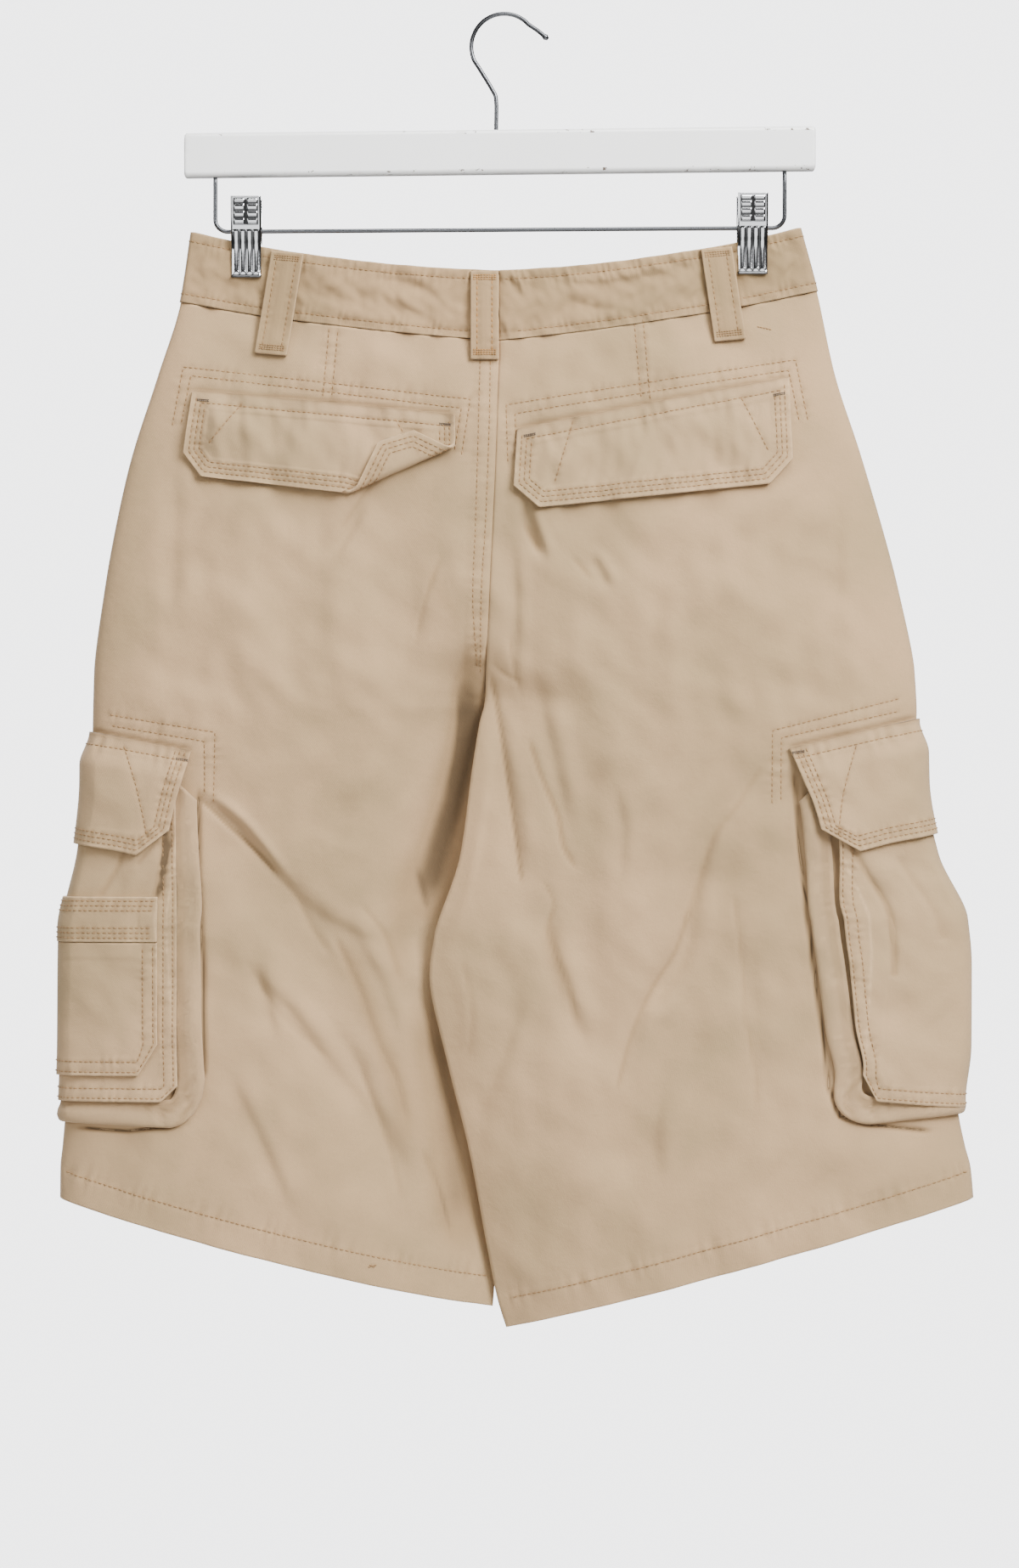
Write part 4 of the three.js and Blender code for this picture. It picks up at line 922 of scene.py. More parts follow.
panelPiece(left, back)
panelPiece(right, back)
panelPiece(left, front)
panelPiece(right, front)
looseThreads = {  # a knot above the left hem, and short marks beside the right belt loop
    ("left", back): [np.array([(-76.5, -704.6), (-71.5, -703.2)]), np.array([(-76, -703), (-72, -704.8)])],
    ("right", back): [np.array([(142, -176), (151, -178)])],
}
for side in (left, right):
    for face in (back, front):
        groups = [stitchesOn(panelSkin(side, face), row["path"]) for row in panelRows[side["name"], face]]
        groups += [stitchesOn(panelSkin(side, face), path, pitch=1.7, gap=0.1, radius=0.4)
                   for path in looseThreads.get((side["name"], face), [])]
        joinStitches(f"stitches_{faceNames[face]}_leg_{side['name']}", groups, tanThread)
print("legs done")


# Waistband: a is the distance round from the side edge, below 0 on the back, b the depth below its top
waistbandForm = {"height": 40.0, "step": 0.9, "half": 175, "rowReach": 185.0, "stitchReach": 168.0}
bandRowForms = [
    {"down": 5.2, "pucker": 0.55, "period": 4.4, "spread": 5.5, "seed": 3},
    {"down": 35.2, "pucker": 0.35, "period": 4.8, "spread": 4.5, "seed": 9},
]


def bandLevel(b):  # the band's share of the sections, just short of the leg's top edge
    return 0.995 * b / waistbandForm["height"]


def bandRow(row, reach):
    return np.array([(-reach, row["down"]), (reach, row["down"])])


def bandSkin(side, rows):
    def skin(a, b, extra):
        a, b = np.broadcast_arrays(np.asarray(a, float), np.asarray(b, float))
        v = bandLevel(b)
        u = 1 - np.abs(a) / np.abs(side["outX"](v) - side["inX"](v))
        height, _ = sewnRelief(a, b, rows)
        height = height + 0.5 * crumple(2.6 * a + 30 * side["sign"], 3.0 * b - 300, 0)
        lift = clothForm["bandLift"] + height * ease(np.abs(a) / 6) + extra
        lift = np.where(extra < -1, clothForm["bandLift"] + extra, lift)
        onBack, onFront = clothPoint(side, back, u, v, lift), clothPoint(side, front, u, v, lift)
        return np.where((a < 0)[..., None], onBack, onFront)
    return skin


def waistbandHalf(side):
    form, name = waistbandForm, side["name"]
    rows = [{**row, "path": bandRow(row, form["rowReach"])} for row in bandRowForms]
    skin = bandSkin(side, rows)
    b = evenly(np.array([0, form["height"]]), form["step"])
    share = evenly(np.array([-1.0, 1.0]) * form["half"], form["step"]) / form["half"]
    share, b = np.meshgrid(share, b)
    v = bandLevel(b)
    a = share * np.abs(side["outX"](v) - side["inX"](v))
    _, wearAndShade = sewnRelief(a, b, rows)
    wearAndShade = wearAndShade + 0.8 * np.exp(-b / 1.2) + 0.9 * np.exp((b - form["height"]) / 1.2)
    sewnPiece(f"band_{name}", [f"waistband_{name}"], bandCloth, skin, a, b, clothForm["bandWall"], wearAndShade,
              (0.36, 0.040))
    groups = [stitchesOn(skin, bandRow(row, form["stitchReach"])) for row in bandRowForms]
    joinStitches(f"stitches_band_{name}", groups, tanThread)


waistbandHalf(left)
waistbandHalf(right)
print("waistband done")


# Belt loops: a runs across, b down, in mm
loopForms = [
    {"name": "back_left", "side": left, "face": back, "top": (-122.2, -134.3), "foot": (-131.5, -192.4),
     "width": 18.2, "rise": -1.9},
    {"name": "back_centre", "side": left, "face": back, "top": (-11.1, -145.6), "foot": (-11.1, -195.4),
     "width": 15.6, "rise": 0.0},
    {"name": "back_right", "side": right, "face": back, "top": (119.6, -131.8), "foot": (127.2, -184.1),
     "width": 17.5, "rise": 1.8},
    {"name": "front_left", "side": left, "face": front, "top": (-96, -138.6), "foot": (-100, -194),
     "width": 16.0, "rise": 1.0},
    {"name": "front_right", "side": right, "face": front, "top": (88, -138.6), "foot": (92, -194),
     "width": 16.0, "rise": 1.0},
]
loopBow = {"rest": 1.1, "middle": 1.6, "foot": 0.5, "footFrom": 0.85}  # the strip's stand off the band
loopFold = {"rise": 0.35, "half": 1.2, "slope": 1.6}  # the strip's two folds meet in its middle
tackRows = (2.2, 3.4, 4.6)  # below the loop's top, and a little more above its foot


def loopSkin(loop, length, rows):
    def skin(a, b, extra):
        share = b / length
        x = mix(loop["top"][0], loop["foot"][0], share) + a
        z = mix(loop["top"][1], loop["foot"][1], share) + a / loop["width"] * loop["rise"]
        standOff = loopBow["rest"] + loopBow["middle"] * np.sin(np.pi * clamp01(share))
        nearFoot = ease((share - loopBow["footFrom"]) / (1 - loopBow["footFrom"]))
        standOff = standOff - loopBow["foot"] * nearFoot
        height, _ = sewnRelief(np.asarray(a, float), np.asarray(b, float), rows)
        middle = loopFold["rise"] * (1 - ease((np.abs(a) - loopFold["half"]) / loopFold["slope"]))
        lift = standOff + clothForm["loopWall"] + (height + middle) * (np.asarray(extra) > -1) + extra
        return onFace(loop["side"], loop["face"], x, z, lift)
    return skin


def beltLoop(loop):
    length = float(np.hypot(loop["foot"][0] - loop["top"][0], loop["foot"][1] - loop["top"][1]))
    half = loop["width"] / 2
    inRow = half - 3.6
    rows = [
        {"path": np.array([(at, 0.8), (at, length - 0.8)]), "pucker": 0.22, "spread": 2.6, "period": 5.5,
         "seed": at}
        for at in (-inRow, inRow)
    ]
    skin = loopSkin(loop, length, rows)
    a, b = np.meshgrid(evenly(np.array([-half, half]), 0.8), evenly(np.array([0, length]), 1.0))
    _, wearAndShade = sewnRelief(a, b, rows)
    edge = np.minimum(half - np.abs(a), np.minimum(b, length - b))
    wearAndShade = wearAndShade * 0.7 + 0.95 * np.exp(-edge / 0.9)
    name = loop["name"]
    sewnPiece(f"loop_{name}", [f"belt_loop_{name}"], bandCloth, skin, a, b, clothForm["loopWall"], wearAndShade,
              (loop["width"] * mm, length * mm))
    thread = amberThread if name == "back_centre" else tanThread
    tackAt = [*tackRows, *(length - 0.6 - at for at in tackRows[::-1])]
    tacks = [
        stitchesOn(skin, [(-half + 1.2, at), (half - 1.2, at)], pitch=1.5, gap=0.15, radius=0.3, rise=0.2)
        for at in tackAt
    ]
    joinStitches(f"stitches_loop_{name}", [stitchesOn(skin, row["path"]) for row in rows] + tacks, thread)


for loop in loopForms:
    beltLoop(loop)
print("belt loops done")


# Outlines: paths inside an outline that runs clockwise seen from its own outer face

def insetPath(outline, inset):  # each edge moved in by inset, meeting its neighbours
    p = np.array(outline, float)
    ahead = np.roll(p, -1, axis=0) - p
    ahead /= np.linalg.norm(ahead, axis=1)[:, None]
    inward = np.stack([ahead[:, 1], -ahead[:, 0]], axis=1)
    if np.sum((p.mean(axis=0) - p) * inward) < 0:
        inward = -inward
    before = np.roll(inward, 1, axis=0)
    bisector = before + inward
    bisector /= np.sum(bisector * inward, axis=1)[:, None]
    return p + bisector * inset


def edgeDistance(a, b, outline):
    closed = np.vstack([outline, outline[:1]])
    return alongPath(a, b, closed)[0]


flapStandOff = {"seam": 0.3, "rise": 1.4, "over": 22.0}
flapInsets = (3.0, 5.8, 8.6)
flapEdge = {"rise": 0.45, "from": 9.5, "slope": 2, "crumple": 0.75}  # thicker where the edge is turned in


def flapWearAndShade(edge, below):  # pale along the free edges from wear, painted shade in the seam along the top
    return np.exp(-edge / 1.0) - 2.7 * np.exp(-np.maximum(below, 0) / 0.9)


def flapLift(below):  # stands off more and more below its seam
    return flapStandOff["seam"] + flapStandOff["rise"] * ease(below / flapStandOff["over"])


def flapRelief(x, z, rows, outline):
    height, _ = sewnRelief(x, z, rows)
    edge = edgeDistance(x, z, outline)
    turnedIn = flapEdge["rise"] * (1 - ease((edge - flapEdge["from"]) / flapEdge["slope"]))
    return height + turnedIn + flapEdge["crumple"] * crumple(2.1 * x, 1.3 * z, 2)


def flapRows(outline, seed):  # three rows along the free edges and one below the top seam
    free = [np.roll(insetPath(outline, inset), -1, axis=0) for inset in flapInsets]
    sewing = {"pucker": 0.2, "spread": 3.0, "period": 5.5}
    rows = [{"path": path, "seed": i, **sewing} for i, path in enumerate(free)]
    top = np.array(outline[:2], float) + (0, -6.8)
    rows.append({"path": np.array([mix(top[0], top[1], 0.03), mix(top[0], top[1], 0.97)]), "pucker": 0.5,
                 "spread": 6.5, "period": 9.0, "seed": seed})
    return rows


rightFlap = {
    "top": (7.2, -234.7, 160, -205.2), "height": (46, 59), "cut": (14, 13), "lean": 2,
}


def rightFlapPlace(a, b):  # share across and share down to x, z
    form = rightFlap
    x0, z0, x1, z1 = form["top"]
    width = np.hypot(x1 - x0, z1 - z0)
    cut = form["cut"][0] * clamp01(1 - a * width / form["cut"][0])
    cut = cut + form["cut"][1] * clamp01(1 - (1 - a) * width / form["cut"][1])
    height = mix(form["height"][0], form["height"][1], a) - cut
    return mix(x0, x1, a) + form["lean"] * b * (2 * a - 1), mix(z0, z1, a) - height * b


def rightBackFlap():
    x0, z0, x1, z1 = rightFlap["top"]
    width = np.hypot(x1 - x0, z1 - z0)
    cutLeft, cutRight = (cut / 155.6 for cut in rightFlap["cut"])
    corners = [(0, 0), (1, 0), (1, 1), (1 - cutRight, 1), (cutLeft, 1), (0, 1)]
    outline = np.array([rightFlapPlace(np.float64(a), np.float64(b)) for a, b in corners])
    rows = flapRows(outline, 2.0)
    diagonals = [np.array([(39, -229), (28, -266)]), np.array([(133, -217), (148, -247)])]
    rows += [{"path": path, "pucker": 0.15, "spread": 2.5} for path in diagonals]

    def skin(x, z, extra):
        topZ = mix(z0, z1, (x - x0) / (x1 - x0))
        height = flapRelief(x, z, rows, outline)
        lift = flapLift(topZ - z) + clothForm["flapWall"] + height * (np.asarray(extra) > -1) + extra
        return onFace(right, back, x, z, lift)

    down = 53.0  # its height in the middle
    a, b = np.meshgrid(evenly(np.array([0, width]), 1.1) / width, evenly(np.array([0, down]), 1.0) / down)
    x, z = rightFlapPlace(a, b)
    _, wearAndShade = sewnRelief(x, z, rows)
    wearAndShade = wearAndShade + flapWearAndShade(edgeDistance(x, z, outline), mix(z0, z1, (x - x0) / (x1 - x0)) - z)
    sewnPiece("flap_back_right", ["back_flap_right"], pocketCloth, skin, x, z, clothForm["flapWall"], wearAndShade,
              (0.157, 0.059))
    joinStitches("stitches_flap_back_right", [stitchesOn(skin, row["path"]) for row in rows], tanThread)
    tacks = [barTack(skin, (x, z), (x + 7.5, z + 1.3))
             for x, z in ((10.5, -238.5), (10.6, -239.3), (150.5, -215.4), (150.6, -216.2))]
    joinStitches("tacks_flap_back_right", tacks, darkThread)


rightBackFlap()
leftFlap = {
    "outline": [(-175.3, -212.6), (-27.8, -226.8), (-27.5, -245.5), (-35, -271), (-52.5, -281.5),
                (-91.2, -270.7), (-170.4, -261.4), (-180.5, -247.9)],
    "top": (-175.3, -212.6, -27.8, -226.8), "fold": (-91.2, -270.7, -32.2, -244.2), "radius": 2.6,
}


# What lies past the fold line rolls up and back over the flap, along a half circle and then flat.
def rollCorner(x, z, height):
    x0, z0, x1, z1 = leftFlap["fold"]
    line = np.array([x1 - x0, z1 - z0]) / np.hypot(x1 - x0, z1 - z0)
    past = np.array([line[1], -line[0]])
    distance = (x - x0) * past[0] + (z - z0) * past[1]
    radius = leftFlap["radius"]
    angle = clamp01(distance / radius / np.pi) * np.pi
    reach = (radius - height) * np.sin(angle) - (distance - angle * radius)
    move = np.where(distance > 0, reach - distance, 0)
    risen = np.where(distance > 0, radius - (radius - height) * np.cos(angle), height)
    return x + move * past[0], z + move * past[1], risen


def scanRows(outline, along, step, columns):  # points on even lines across an outline, all parallel
    p = np.array(outline, float)
    across = np.array([along[1], -along[0]])
    levels = p @ across
    heights = evenly(np.array([levels.min() + 0.5, levels.max() - 0.5]), step)
    q = np.roll(p, -1, axis=0)
    share = np.linspace(0, 1, columns)
    rows = []
    for level in heights:
        a, b = p @ across - level, q @ across - level
        hit = (a * b <= 0) & (a != b)
        t = a[hit] / (a[hit] - b[hit])
        ends = (mix(p[hit], q[hit], t[:, None])) @ along
        rows.append(across * level + along * mix(ends.min(), ends.max(), share)[:, None])
    return np.array(rows)


def leftBackFlap():
    outline = np.array(leftFlap["outline"], float)
    rows = flapRows(outline, 5.0)
    rows += [{"path": np.array([(-147, -220), (-166, -243)]), "pucker": 0.15, "spread": 2.5},
             {"path": np.array([(-62, -228), (-42, -262)]), "pucker": 0.15, "spread": 2.5}]
    x0, z0, x1, z1 = leftFlap["top"]

    def skin(x, z, extra):
        below = mix(z0, z1, clamp01((x - x0) / (x1 - x0))) - z
        height = flapRelief(x, z, rows, outline) * (np.asarray(extra) > -1)
        atX, atZ, risen = rollCorner(x, z, clothForm["flapWall"] + height + extra)
        return onFace(left, back, atX, atZ, flapLift(below) + risen)

    fx0, fz0, fx1, fz1 = leftFlap["fold"]
    along = np.array([fx1 - fx0, fz1 - fz0]) / np.hypot(fx1 - fx0, fz1 - fz0)
    places = scanRows(outline, along, 0.95, 131)
    x, z = places[..., 0], places[..., 1]
    _, wearAndShade = sewnRelief(x, z, rows)
    wearAndShade = wearAndShade + flapWearAndShade(edgeDistance(x, z, outline), mix(z0, z1, clamp01((x - x0) / (x1 - x0))) - z)
    sewnPiece("flap_back_left", ["back_flap_left"], pocketCloth, skin, x, z, clothForm["flapWall"], wearAndShade,
              (0.153, 0.060))

    def underSkin(x, z, extra):  # the flap's inner side, seen where the corner is turned up
        return skin(x, z, -clothForm["flapWall"] - extra)

    turnedRows = [insetPath(outline, inset)[[5, 4, 3, 2]] for inset in flapInsets]
    turnedRows = [np.vstack([mix(path[0], path[1], 0.2), path[1:]]) for path in turnedRows]
    groups = [stitchesOn(skin, row["path"]) for row in rows]
    groups += [stitchesOn(underSkin, path) for path in turnedRows]
    joinStitches("stitches_flap_back_left", groups, tanThread)
    tacks = [barTack(skin, (x, z), (x + 7.5, z - 0.7))
             for x, z in ((-173, -217.6), (-173, -218.4), (-37, -231.5), (-37, -232.3))]
    joinStitches("tacks_flap_back_left", tacks, darkThread)


leftBackFlap()
print("back flaps done")


# Cargo pockets. edge: x of the back edge at top and bottom. round: how far it runs over the front.
# slope: fall of the top and bottom lines per mm from the side. cut: size of the lower corners.
pocketForms = {
    "left": {
        "side": left,
        "gusset": {"edge": (-171.8, -169.2), "round": 104, "top": -437, "bottom": -624, "slope": (0.1, 0.04),
                   "cut": (20, 28), "rounded": True},
        "face": {"edge": (-183.5, -183.5), "round": 91, "top": -431, "bottom": -612, "slope": (0.12, 0),
                 "cut": (9, 9), "rounded": False},
        "flap": {"edge": (-175.2, -188.5), "round": 96, "top": -404.4, "bottom": -467, "slope": (0.19, 0.23),
                 "cut": (17, 18), "rounded": False, "hinged": True},
        "patch": {"edge": (-194.4, -194.4), "round": 50, "top": -522.9, "bottom": -597.5, "slope": (0, 0),
                  "cut": (11, 18), "rounded": False},
        "patchBand": {"edge": (-194.4, -194.4), "round": 50, "top": -497.2, "bottom": -522.5, "slope": (0, 0),
                      "cut": (11, 0), "rounded": False},
    },
    "right": {
        "side": right,
        "gusset": {"edge": (164, 183.8), "round": 104, "top": -437, "bottom": -619.5, "slope": (0.1, 0.1),
                   "cut": (24, 22), "rounded": True},
        "face": {"edge": (184.4, 198.6), "round": 88, "top": -429, "bottom": -616, "slope": (0.12, -0.09),
                 "cut": (10, 14), "rounded": False},
        "flap": {"edge": (159.6, 177.5), "round": 96, "top": -397, "bottom": -461.5, "slope": (0.233, 0.245),
                 "cut": (19, 17), "rounded": False, "hinged": True},
    },
}
pouch = {"lift": 3.5, "wall": 1.4, "patchWall": 1.3, "patchBandWall": 1.8, "edgeRise": 0.4, "crumple": 0.65}
aboveFace = pouch["lift"] + pouch["wall"] + clothForm["seamGap"]


def pocketPlace(side, form, t, b, inset=0.0):  # t from -1, the back edge, to 1, the front edge; b down
    t, b = np.broadcast_arrays(np.asarray(t, float), np.asarray(b, float))
    _, v = placeOn(side, mix(form["top"], form["bottom"], b), q=np.zeros_like(b))
    backWidth = np.abs(side["outX"](v)) - np.abs(mix(form["edge"][0], form["edge"][1], b))
    width = np.where(t < 0, backWidth, form["round"]) - inset
    cutX = np.maximum(1, form["cut"][0] - inset)
    q = np.abs(t) * width
    share = clamp01((q - (width - cutX)) / cutX)
    cut = 1 - np.sqrt(1 - share**2) if form["rounded"] else share
    bottom = form["bottom"] - form["slope"][1] * q + inset + np.maximum(0, form["cut"][1] - inset) * cut
    return q * np.sign(t), mix(form["top"] - form["slope"][0] * q, bottom, b)


def pocketOutline(side, form):  # corners in q, z: top edge from back to front, then round below
    cutBack = form["cut"][0] / 60
    cutFront = form["cut"][0] / form["round"]
    corners = [(-1, 0), (0, 0), (1, 0), (1, 1), (1 - cutFront, 1), (0, 1), (-1 + cutBack, 1), (-1, 1)]
    return np.array([pocketPlace(side, form, t, b) for t, b in corners])


def level(height):  # the same stand-off all the way down
    return lambda share: height + 0 * share


def sidePiece(name, node, side, form, standOff, wall, rows, flat, step=1.3, grooves=()):
    half, tall = 75, form["top"] - form["bottom"]
    t, b = np.meshgrid(
        evenly(np.array([-1.0, 1.0]) * half, step) / half,
        evenly(np.array([0.0, tall]), step) / tall,
    )
    q, z = pocketPlace(side, form, t, b)
    outline = pocketOutline(side, form)

    def skin(q, z, extra):
        q, z = np.broadcast_arrays(np.asarray(q, float), np.asarray(z, float))
        height, _ = sewnRelief(q, z, rows)
        share = clamp01((form["top"] - form["slope"][0] * np.abs(q) - z) / tall)
        height = height + pouch["edgeRise"] * (1 - ease((edgeDistance(q, z, outline) - 8) / 2))
        for path, width, depth, shadow in grooves:
            height = height - depth * bell(alongPath(q, z, path)[0], width)
        height = height + pouch["crumple"] * crumple(q * 1.3, z * 1.3, 1)
        height = height * ease(np.abs(q) / 8)
        lift = standOff(share) + wall + height * (np.asarray(extra) > -1) + extra
        return roundSide(side, q, z, lift)

    _, wearAndShade = sewnRelief(q, z, rows)
    below = form["top"] - form["slope"][0] * np.abs(q) - z if form.get("hinged") else 100
    wearAndShade = wearAndShade + flapWearAndShade(edgeDistance(q, z, outline), below)
    # painted shade along the grooves
    for path, width, depth, shadow in grooves:
        wearAndShade = wearAndShade - shadow * bell(alongPath(q, z, path)[0], width)
    sewnPiece(name, [node], pocketCloth, skin, q, z, wall, wearAndShade, flat)
    joinStitches(f"stitches_{name}", [stitchesOn(skin, row["path"]) for row in rows], tanThread)
    return skin


def roundPocket(down, across):  # t and b down the back edge, along the bottom and up the front edge
    t = np.r_[np.full(len(down), -1.0), np.linspace(-1, 1, across), np.full(len(down), 1.0)]
    return t, np.r_[down, np.ones(across), down[::-1]]


def pocketEdgeRow(side, form, inset, seed):  # a row that follows a piece's free edges
    t, b = roundPocket(np.linspace(0.03, 1.0, 24), 80)
    q, z = pocketPlace(side, form, t, b, inset)
    return {"path": np.stack([q, z], axis=1), "spread": 3.2, "period": 6.0, "pucker": 0.3, "seed": seed}


faceGrooves = {  # path in q, z, width, depth, shadow: slack cloth below the flap
    "left": [
        (np.array([(-45.5, -456), (-47.5, -478), (-48, -496)]), 2.6, 1.6, 2.1),
        (np.array([(-17.3, -496), (-22.2, -479), (-25, -466)]), 2.0, 0.9, 0.7),
        (np.array([(-33, -478), (-40, -466)]), 2.0, 0.7, 0.5),
        (np.array([(-58, -440), (-46, -478)]), 1.6, 0.6, 1.0),
    ],
    "right": [
        (np.array([(-44, -466), (-40, -500), (-41, -540)]), 2.2, 1.2, 1.1),
        (np.array([(-20, -478), (-14, -520)]), 2.6, 0.8, 0.4),
    ],
}


def flapRise(share):
    return mix(clothForm["seamGap"], aboveFace + 0.6, ease(share / 0.3))


def cargoPocket(name, forms):
    side, faceForm, flapForm = forms["side"], forms["face"], forms["flap"]
    faceRows = [pocketEdgeRow(side, faceForm, inset, i) for i, inset in enumerate((2.0, 7.4))]
    sidePiece(f"cargo_{name}", f"cargo_face_{name}", side, faceForm, level(pouch["lift"]), pouch["wall"],
              faceRows, (0.165, 0.185), grooves=faceGrooves[name])
    rows = [pocketEdgeRow(side, flapForm, inset, i) for i, inset in enumerate((3.0, 5.8, 8.4))]
    topT = np.linspace(-0.97, 0.97, 60)
    topQ, topZ = pocketPlace(side, flapForm, topT, 0.0)
    rows.append({"path": np.stack([topQ, topZ - 6.5], axis=1), "pucker": 0.55, "spread": 6, "period": 9})
    edge = -float(np.abs(side["outX"](8.0)) - np.abs(flapForm["edge"][0]))
    rows.append({"path": np.array([(edge + 38, -412), (edge + 22, -463)]), "pucker": 0.15, "spread": 2.5})
    skin = sidePiece(f"cargo_lid_{name}", f"cargo_flap_{name}", side, flapForm, flapRise,
                     clothForm["flapWall"] - 0.2, rows, (0.172, 0.075),
                      step=1.1)
    tackZ = flapForm["top"] - 0.2 * abs(edge) - 4.5
    tacks = [barTack(skin, (edge + 1.5, tackZ - drop), (edge + 9, tackZ - drop + 1)) for drop in (0, 0.8)]
    joinStitches(f"tacks_cargo_lid_{name}", tacks, darkThread)


def patchPocket():
    patch, band = pocketForms["left"]["patch"], pocketForms["left"]["patchBand"]
    patchRows = [pocketEdgeRow(left, patch, inset, i) for i, inset in enumerate((2.2, 8))]
    sidePiece("patch_left", "patch_pocket_left", left, patch, level(aboveFace), pouch["patchWall"], patchRows,
              (0.120, 0.075), step=1.1)
    bandRows = [
        {"path": np.array([(-48.0, z), (48.0, z)]), "pucker": 0.12, "spread": 2.5, "period": 5}
        for z in (-499.5, -502.2, -504.9, -514.6, -517.4, -520.2)
    ]
    sidePiece("patch_trim_left", "patch_band_left", left, band, level(aboveFace), pouch["patchBandWall"],
              bandRows, (0.120, 0.026), step=1.0)


for name, forms in pocketForms.items():
    cargoPocket(name, forms)
patchPocket()
print("cargo pockets done")

# The gusset is a strip folded flat: sewn to the leg below, to the pocket's face above.
gussetSection = [  # inset, lift
    (11, 0.5), (6, 0.5), (1.3, 0.5), (0.5, 0.65), (0.1, 1.0), (0.0, 1.7), (0.2, 2.6), (0.8, 3.4), (1.8, 3.9),
    (4, 4.1), (7, 3.6), (10, 3.0), (13, 2.9), (15.5, 2.9), (15.5, 1.85), (8, 2.1), (2.2, 2.1), (1.5, 1.7),
    (2.0, 1.4), (6, 1.4), (11, 1.4),
]
gussetLook = {
    "waver": 1.0, "waverAt": 6, "waverWidth": 4,  # of the upper layer, along the whole strip
    "crumple": 1.5, "crumpleAt": 5, "crumpleWidth": 5, "corners": (-0.9, 0.92), "cornerReach": 15,
    # painted shade under the face's edge and in the crumpled hollows; a pale folded edge from wear and a
    # painted highlight
    "seamAt": 11.5, "seamWidth": 2.0, "seamShade": 0.9, "foldWidth": 0.7, "foldPale": 0.5, "hollowShade": 0.9,
}


def gussetPiece(name, side, form):
    look = gussetLook
    t, b = roundPocket(np.linspace(0, 1, 70)[:-1], 190)
    section = np.array(gussetSection)
    inset, lift = section[:, 0], section[:, 1]
    q, z = np.empty((len(t), len(section))), np.empty((len(t), len(section)))
    for k, reach in enumerate(inset):
        q[:, k], z[:, k] = pocketPlace(side, form, t, b, reach)
    z = z + 8.0 * clamp01(inset / 10)[None, :] * (1 - ease(b / 0.08))[:, None] * (t < 0)[:, None]
    upper = (lift > 2.2)[None, :] * ease((inset - 0.4) / 3)[None, :]
    lengthAlong = np.r_[0, np.cumsum(np.hypot(np.diff(q[:, 0]), np.diff(z[:, 0])))][:, None]
    waver = look["waver"] * np.sin(lengthAlong / 19 + 1.0)
    waver = waver * bell(inset - look["waverAt"], look["waverWidth"])[None, :]
    turns = [lengthAlong[np.argmin(np.abs(t - at) + np.abs(b - 1)), 0] for at in look["corners"]]
    corner = sum(bell(lengthAlong - turn, look["cornerReach"]) for turn in turns)
    crumpled = corner * np.sin(inset[None, :] * 0.7 + lengthAlong / 1.9 + 1.5 * np.sin(lengthAlong / 5.3))
    band = bell(inset - look["crumpleAt"], look["crumpleWidth"])[None, :]
    waver = waver + look["crumple"] * crumpled * band
    points = roundSide(side, q, z, lift[None, :] + upper * waver)
    # painted shade under the face's edge and in the hollows, and the folded edge paler from wear and a
    # painted highlight
    shaded = look["seamShade"] * bell(inset - look["seamAt"], look["seamWidth"])
    shaded = shaded - look["foldPale"] * bell(inset, look["foldWidth"])
    wearAndShade = -shaded[None, :] * (lift > 1)[None, :] - look["hollowShade"] * clamp01(-crumpled)
    wearAndShade = np.r_[wearAndShade.ravel(), 0, 0]
    piece = tube(f"gusset_{name}", points, {"wearAndShade": wearAndShade})
    piece.data.uv_layers.new(name="weave")
    dress(piece, [f"cargo_gusset_{name}"], pocketCloth)


for name, forms in pocketForms.items():
    gussetPiece(name, forms["side"], forms["gusset"])
print("gussets done")

# Fly: an own piece on the front, with its curved double row
flyForm = {"top": (-42, -182.5, -4.2, -188.5), "width": 38.0, "height": 158.0, "cut": 26.0, "wall": 1.6}


def flyPiece():
    x0, z0, x1, z1 = flyForm["top"]
    width, height = flyForm["width"], flyForm["height"]
    across, down = evenly(np.array([0, width]), 1.5), evenly(np.array([0, height]), 1.6)
    a, b = np.meshgrid(across / width, down / height)
    cut = flyForm["cut"] * clamp01(1 - a * width / flyForm["cut"])
    x, z = mix(x0, x1, a), mix(z0, z1, a) - (height - cut) * b
    rows = [
        {"path": smoothPath([(-38, -188), (-38, -290), (-30, -316), (-14, -336), (-6, -340)]),
         "pucker": 0.25},
        {"path": smoothPath([(-33, -188), (-33, -288), (-26, -310), (-12, -328), (-6, -332)]),
         "pucker": 0.2},
    ]

    def skin(x, z, extra):
        relief, _ = sewnRelief(np.asarray(x, float), np.asarray(z, float), rows)
        lift = clothForm["seamGap"] + flyForm["wall"] + relief * (np.asarray(extra) > -1) + extra
        return onFace(left, front, x, z, lift)

    _, wearAndShade = sewnRelief(x, z, rows)
    wearAndShade = wearAndShade + 0.9 * np.exp(-a * width / 1.2)
    sewnPiece("fly_left", ["fly_flap"], legCloth, skin, x, z, flyForm["wall"], wearAndShade, (0.038, 0.158))
    joinStitches("stitches_fly", [stitchesOn(skin, row["path"]) for row in rows], tanThread)


flyPiece()
print("fly done")


# Button: a turned disc with a rim, a dished middle and four holes
buttonForm = {
    "radius": 8.5, "thickness": 3.2, "dish": 0.9, "standOff": 1.3,
    "holeAt": 1.9, "holeRadius": 0.6, "holeSlope": 0.5, "holeDepth": 1.3,
}


def hornPlastic():
    shade = Shade("horn_plastic")
    grain = shade.noise(shade.place(), 160.0, 4.0)
    base = shade.blend(grain.between(0.35, 0.65), linear(120, 98, 74), linear(164, 142, 112))
    return shade.finish(Base_Color=base, Roughness=0.3 + 0.2 * grain, Normal=shade.bump(grain, 0.0002, 0.4))


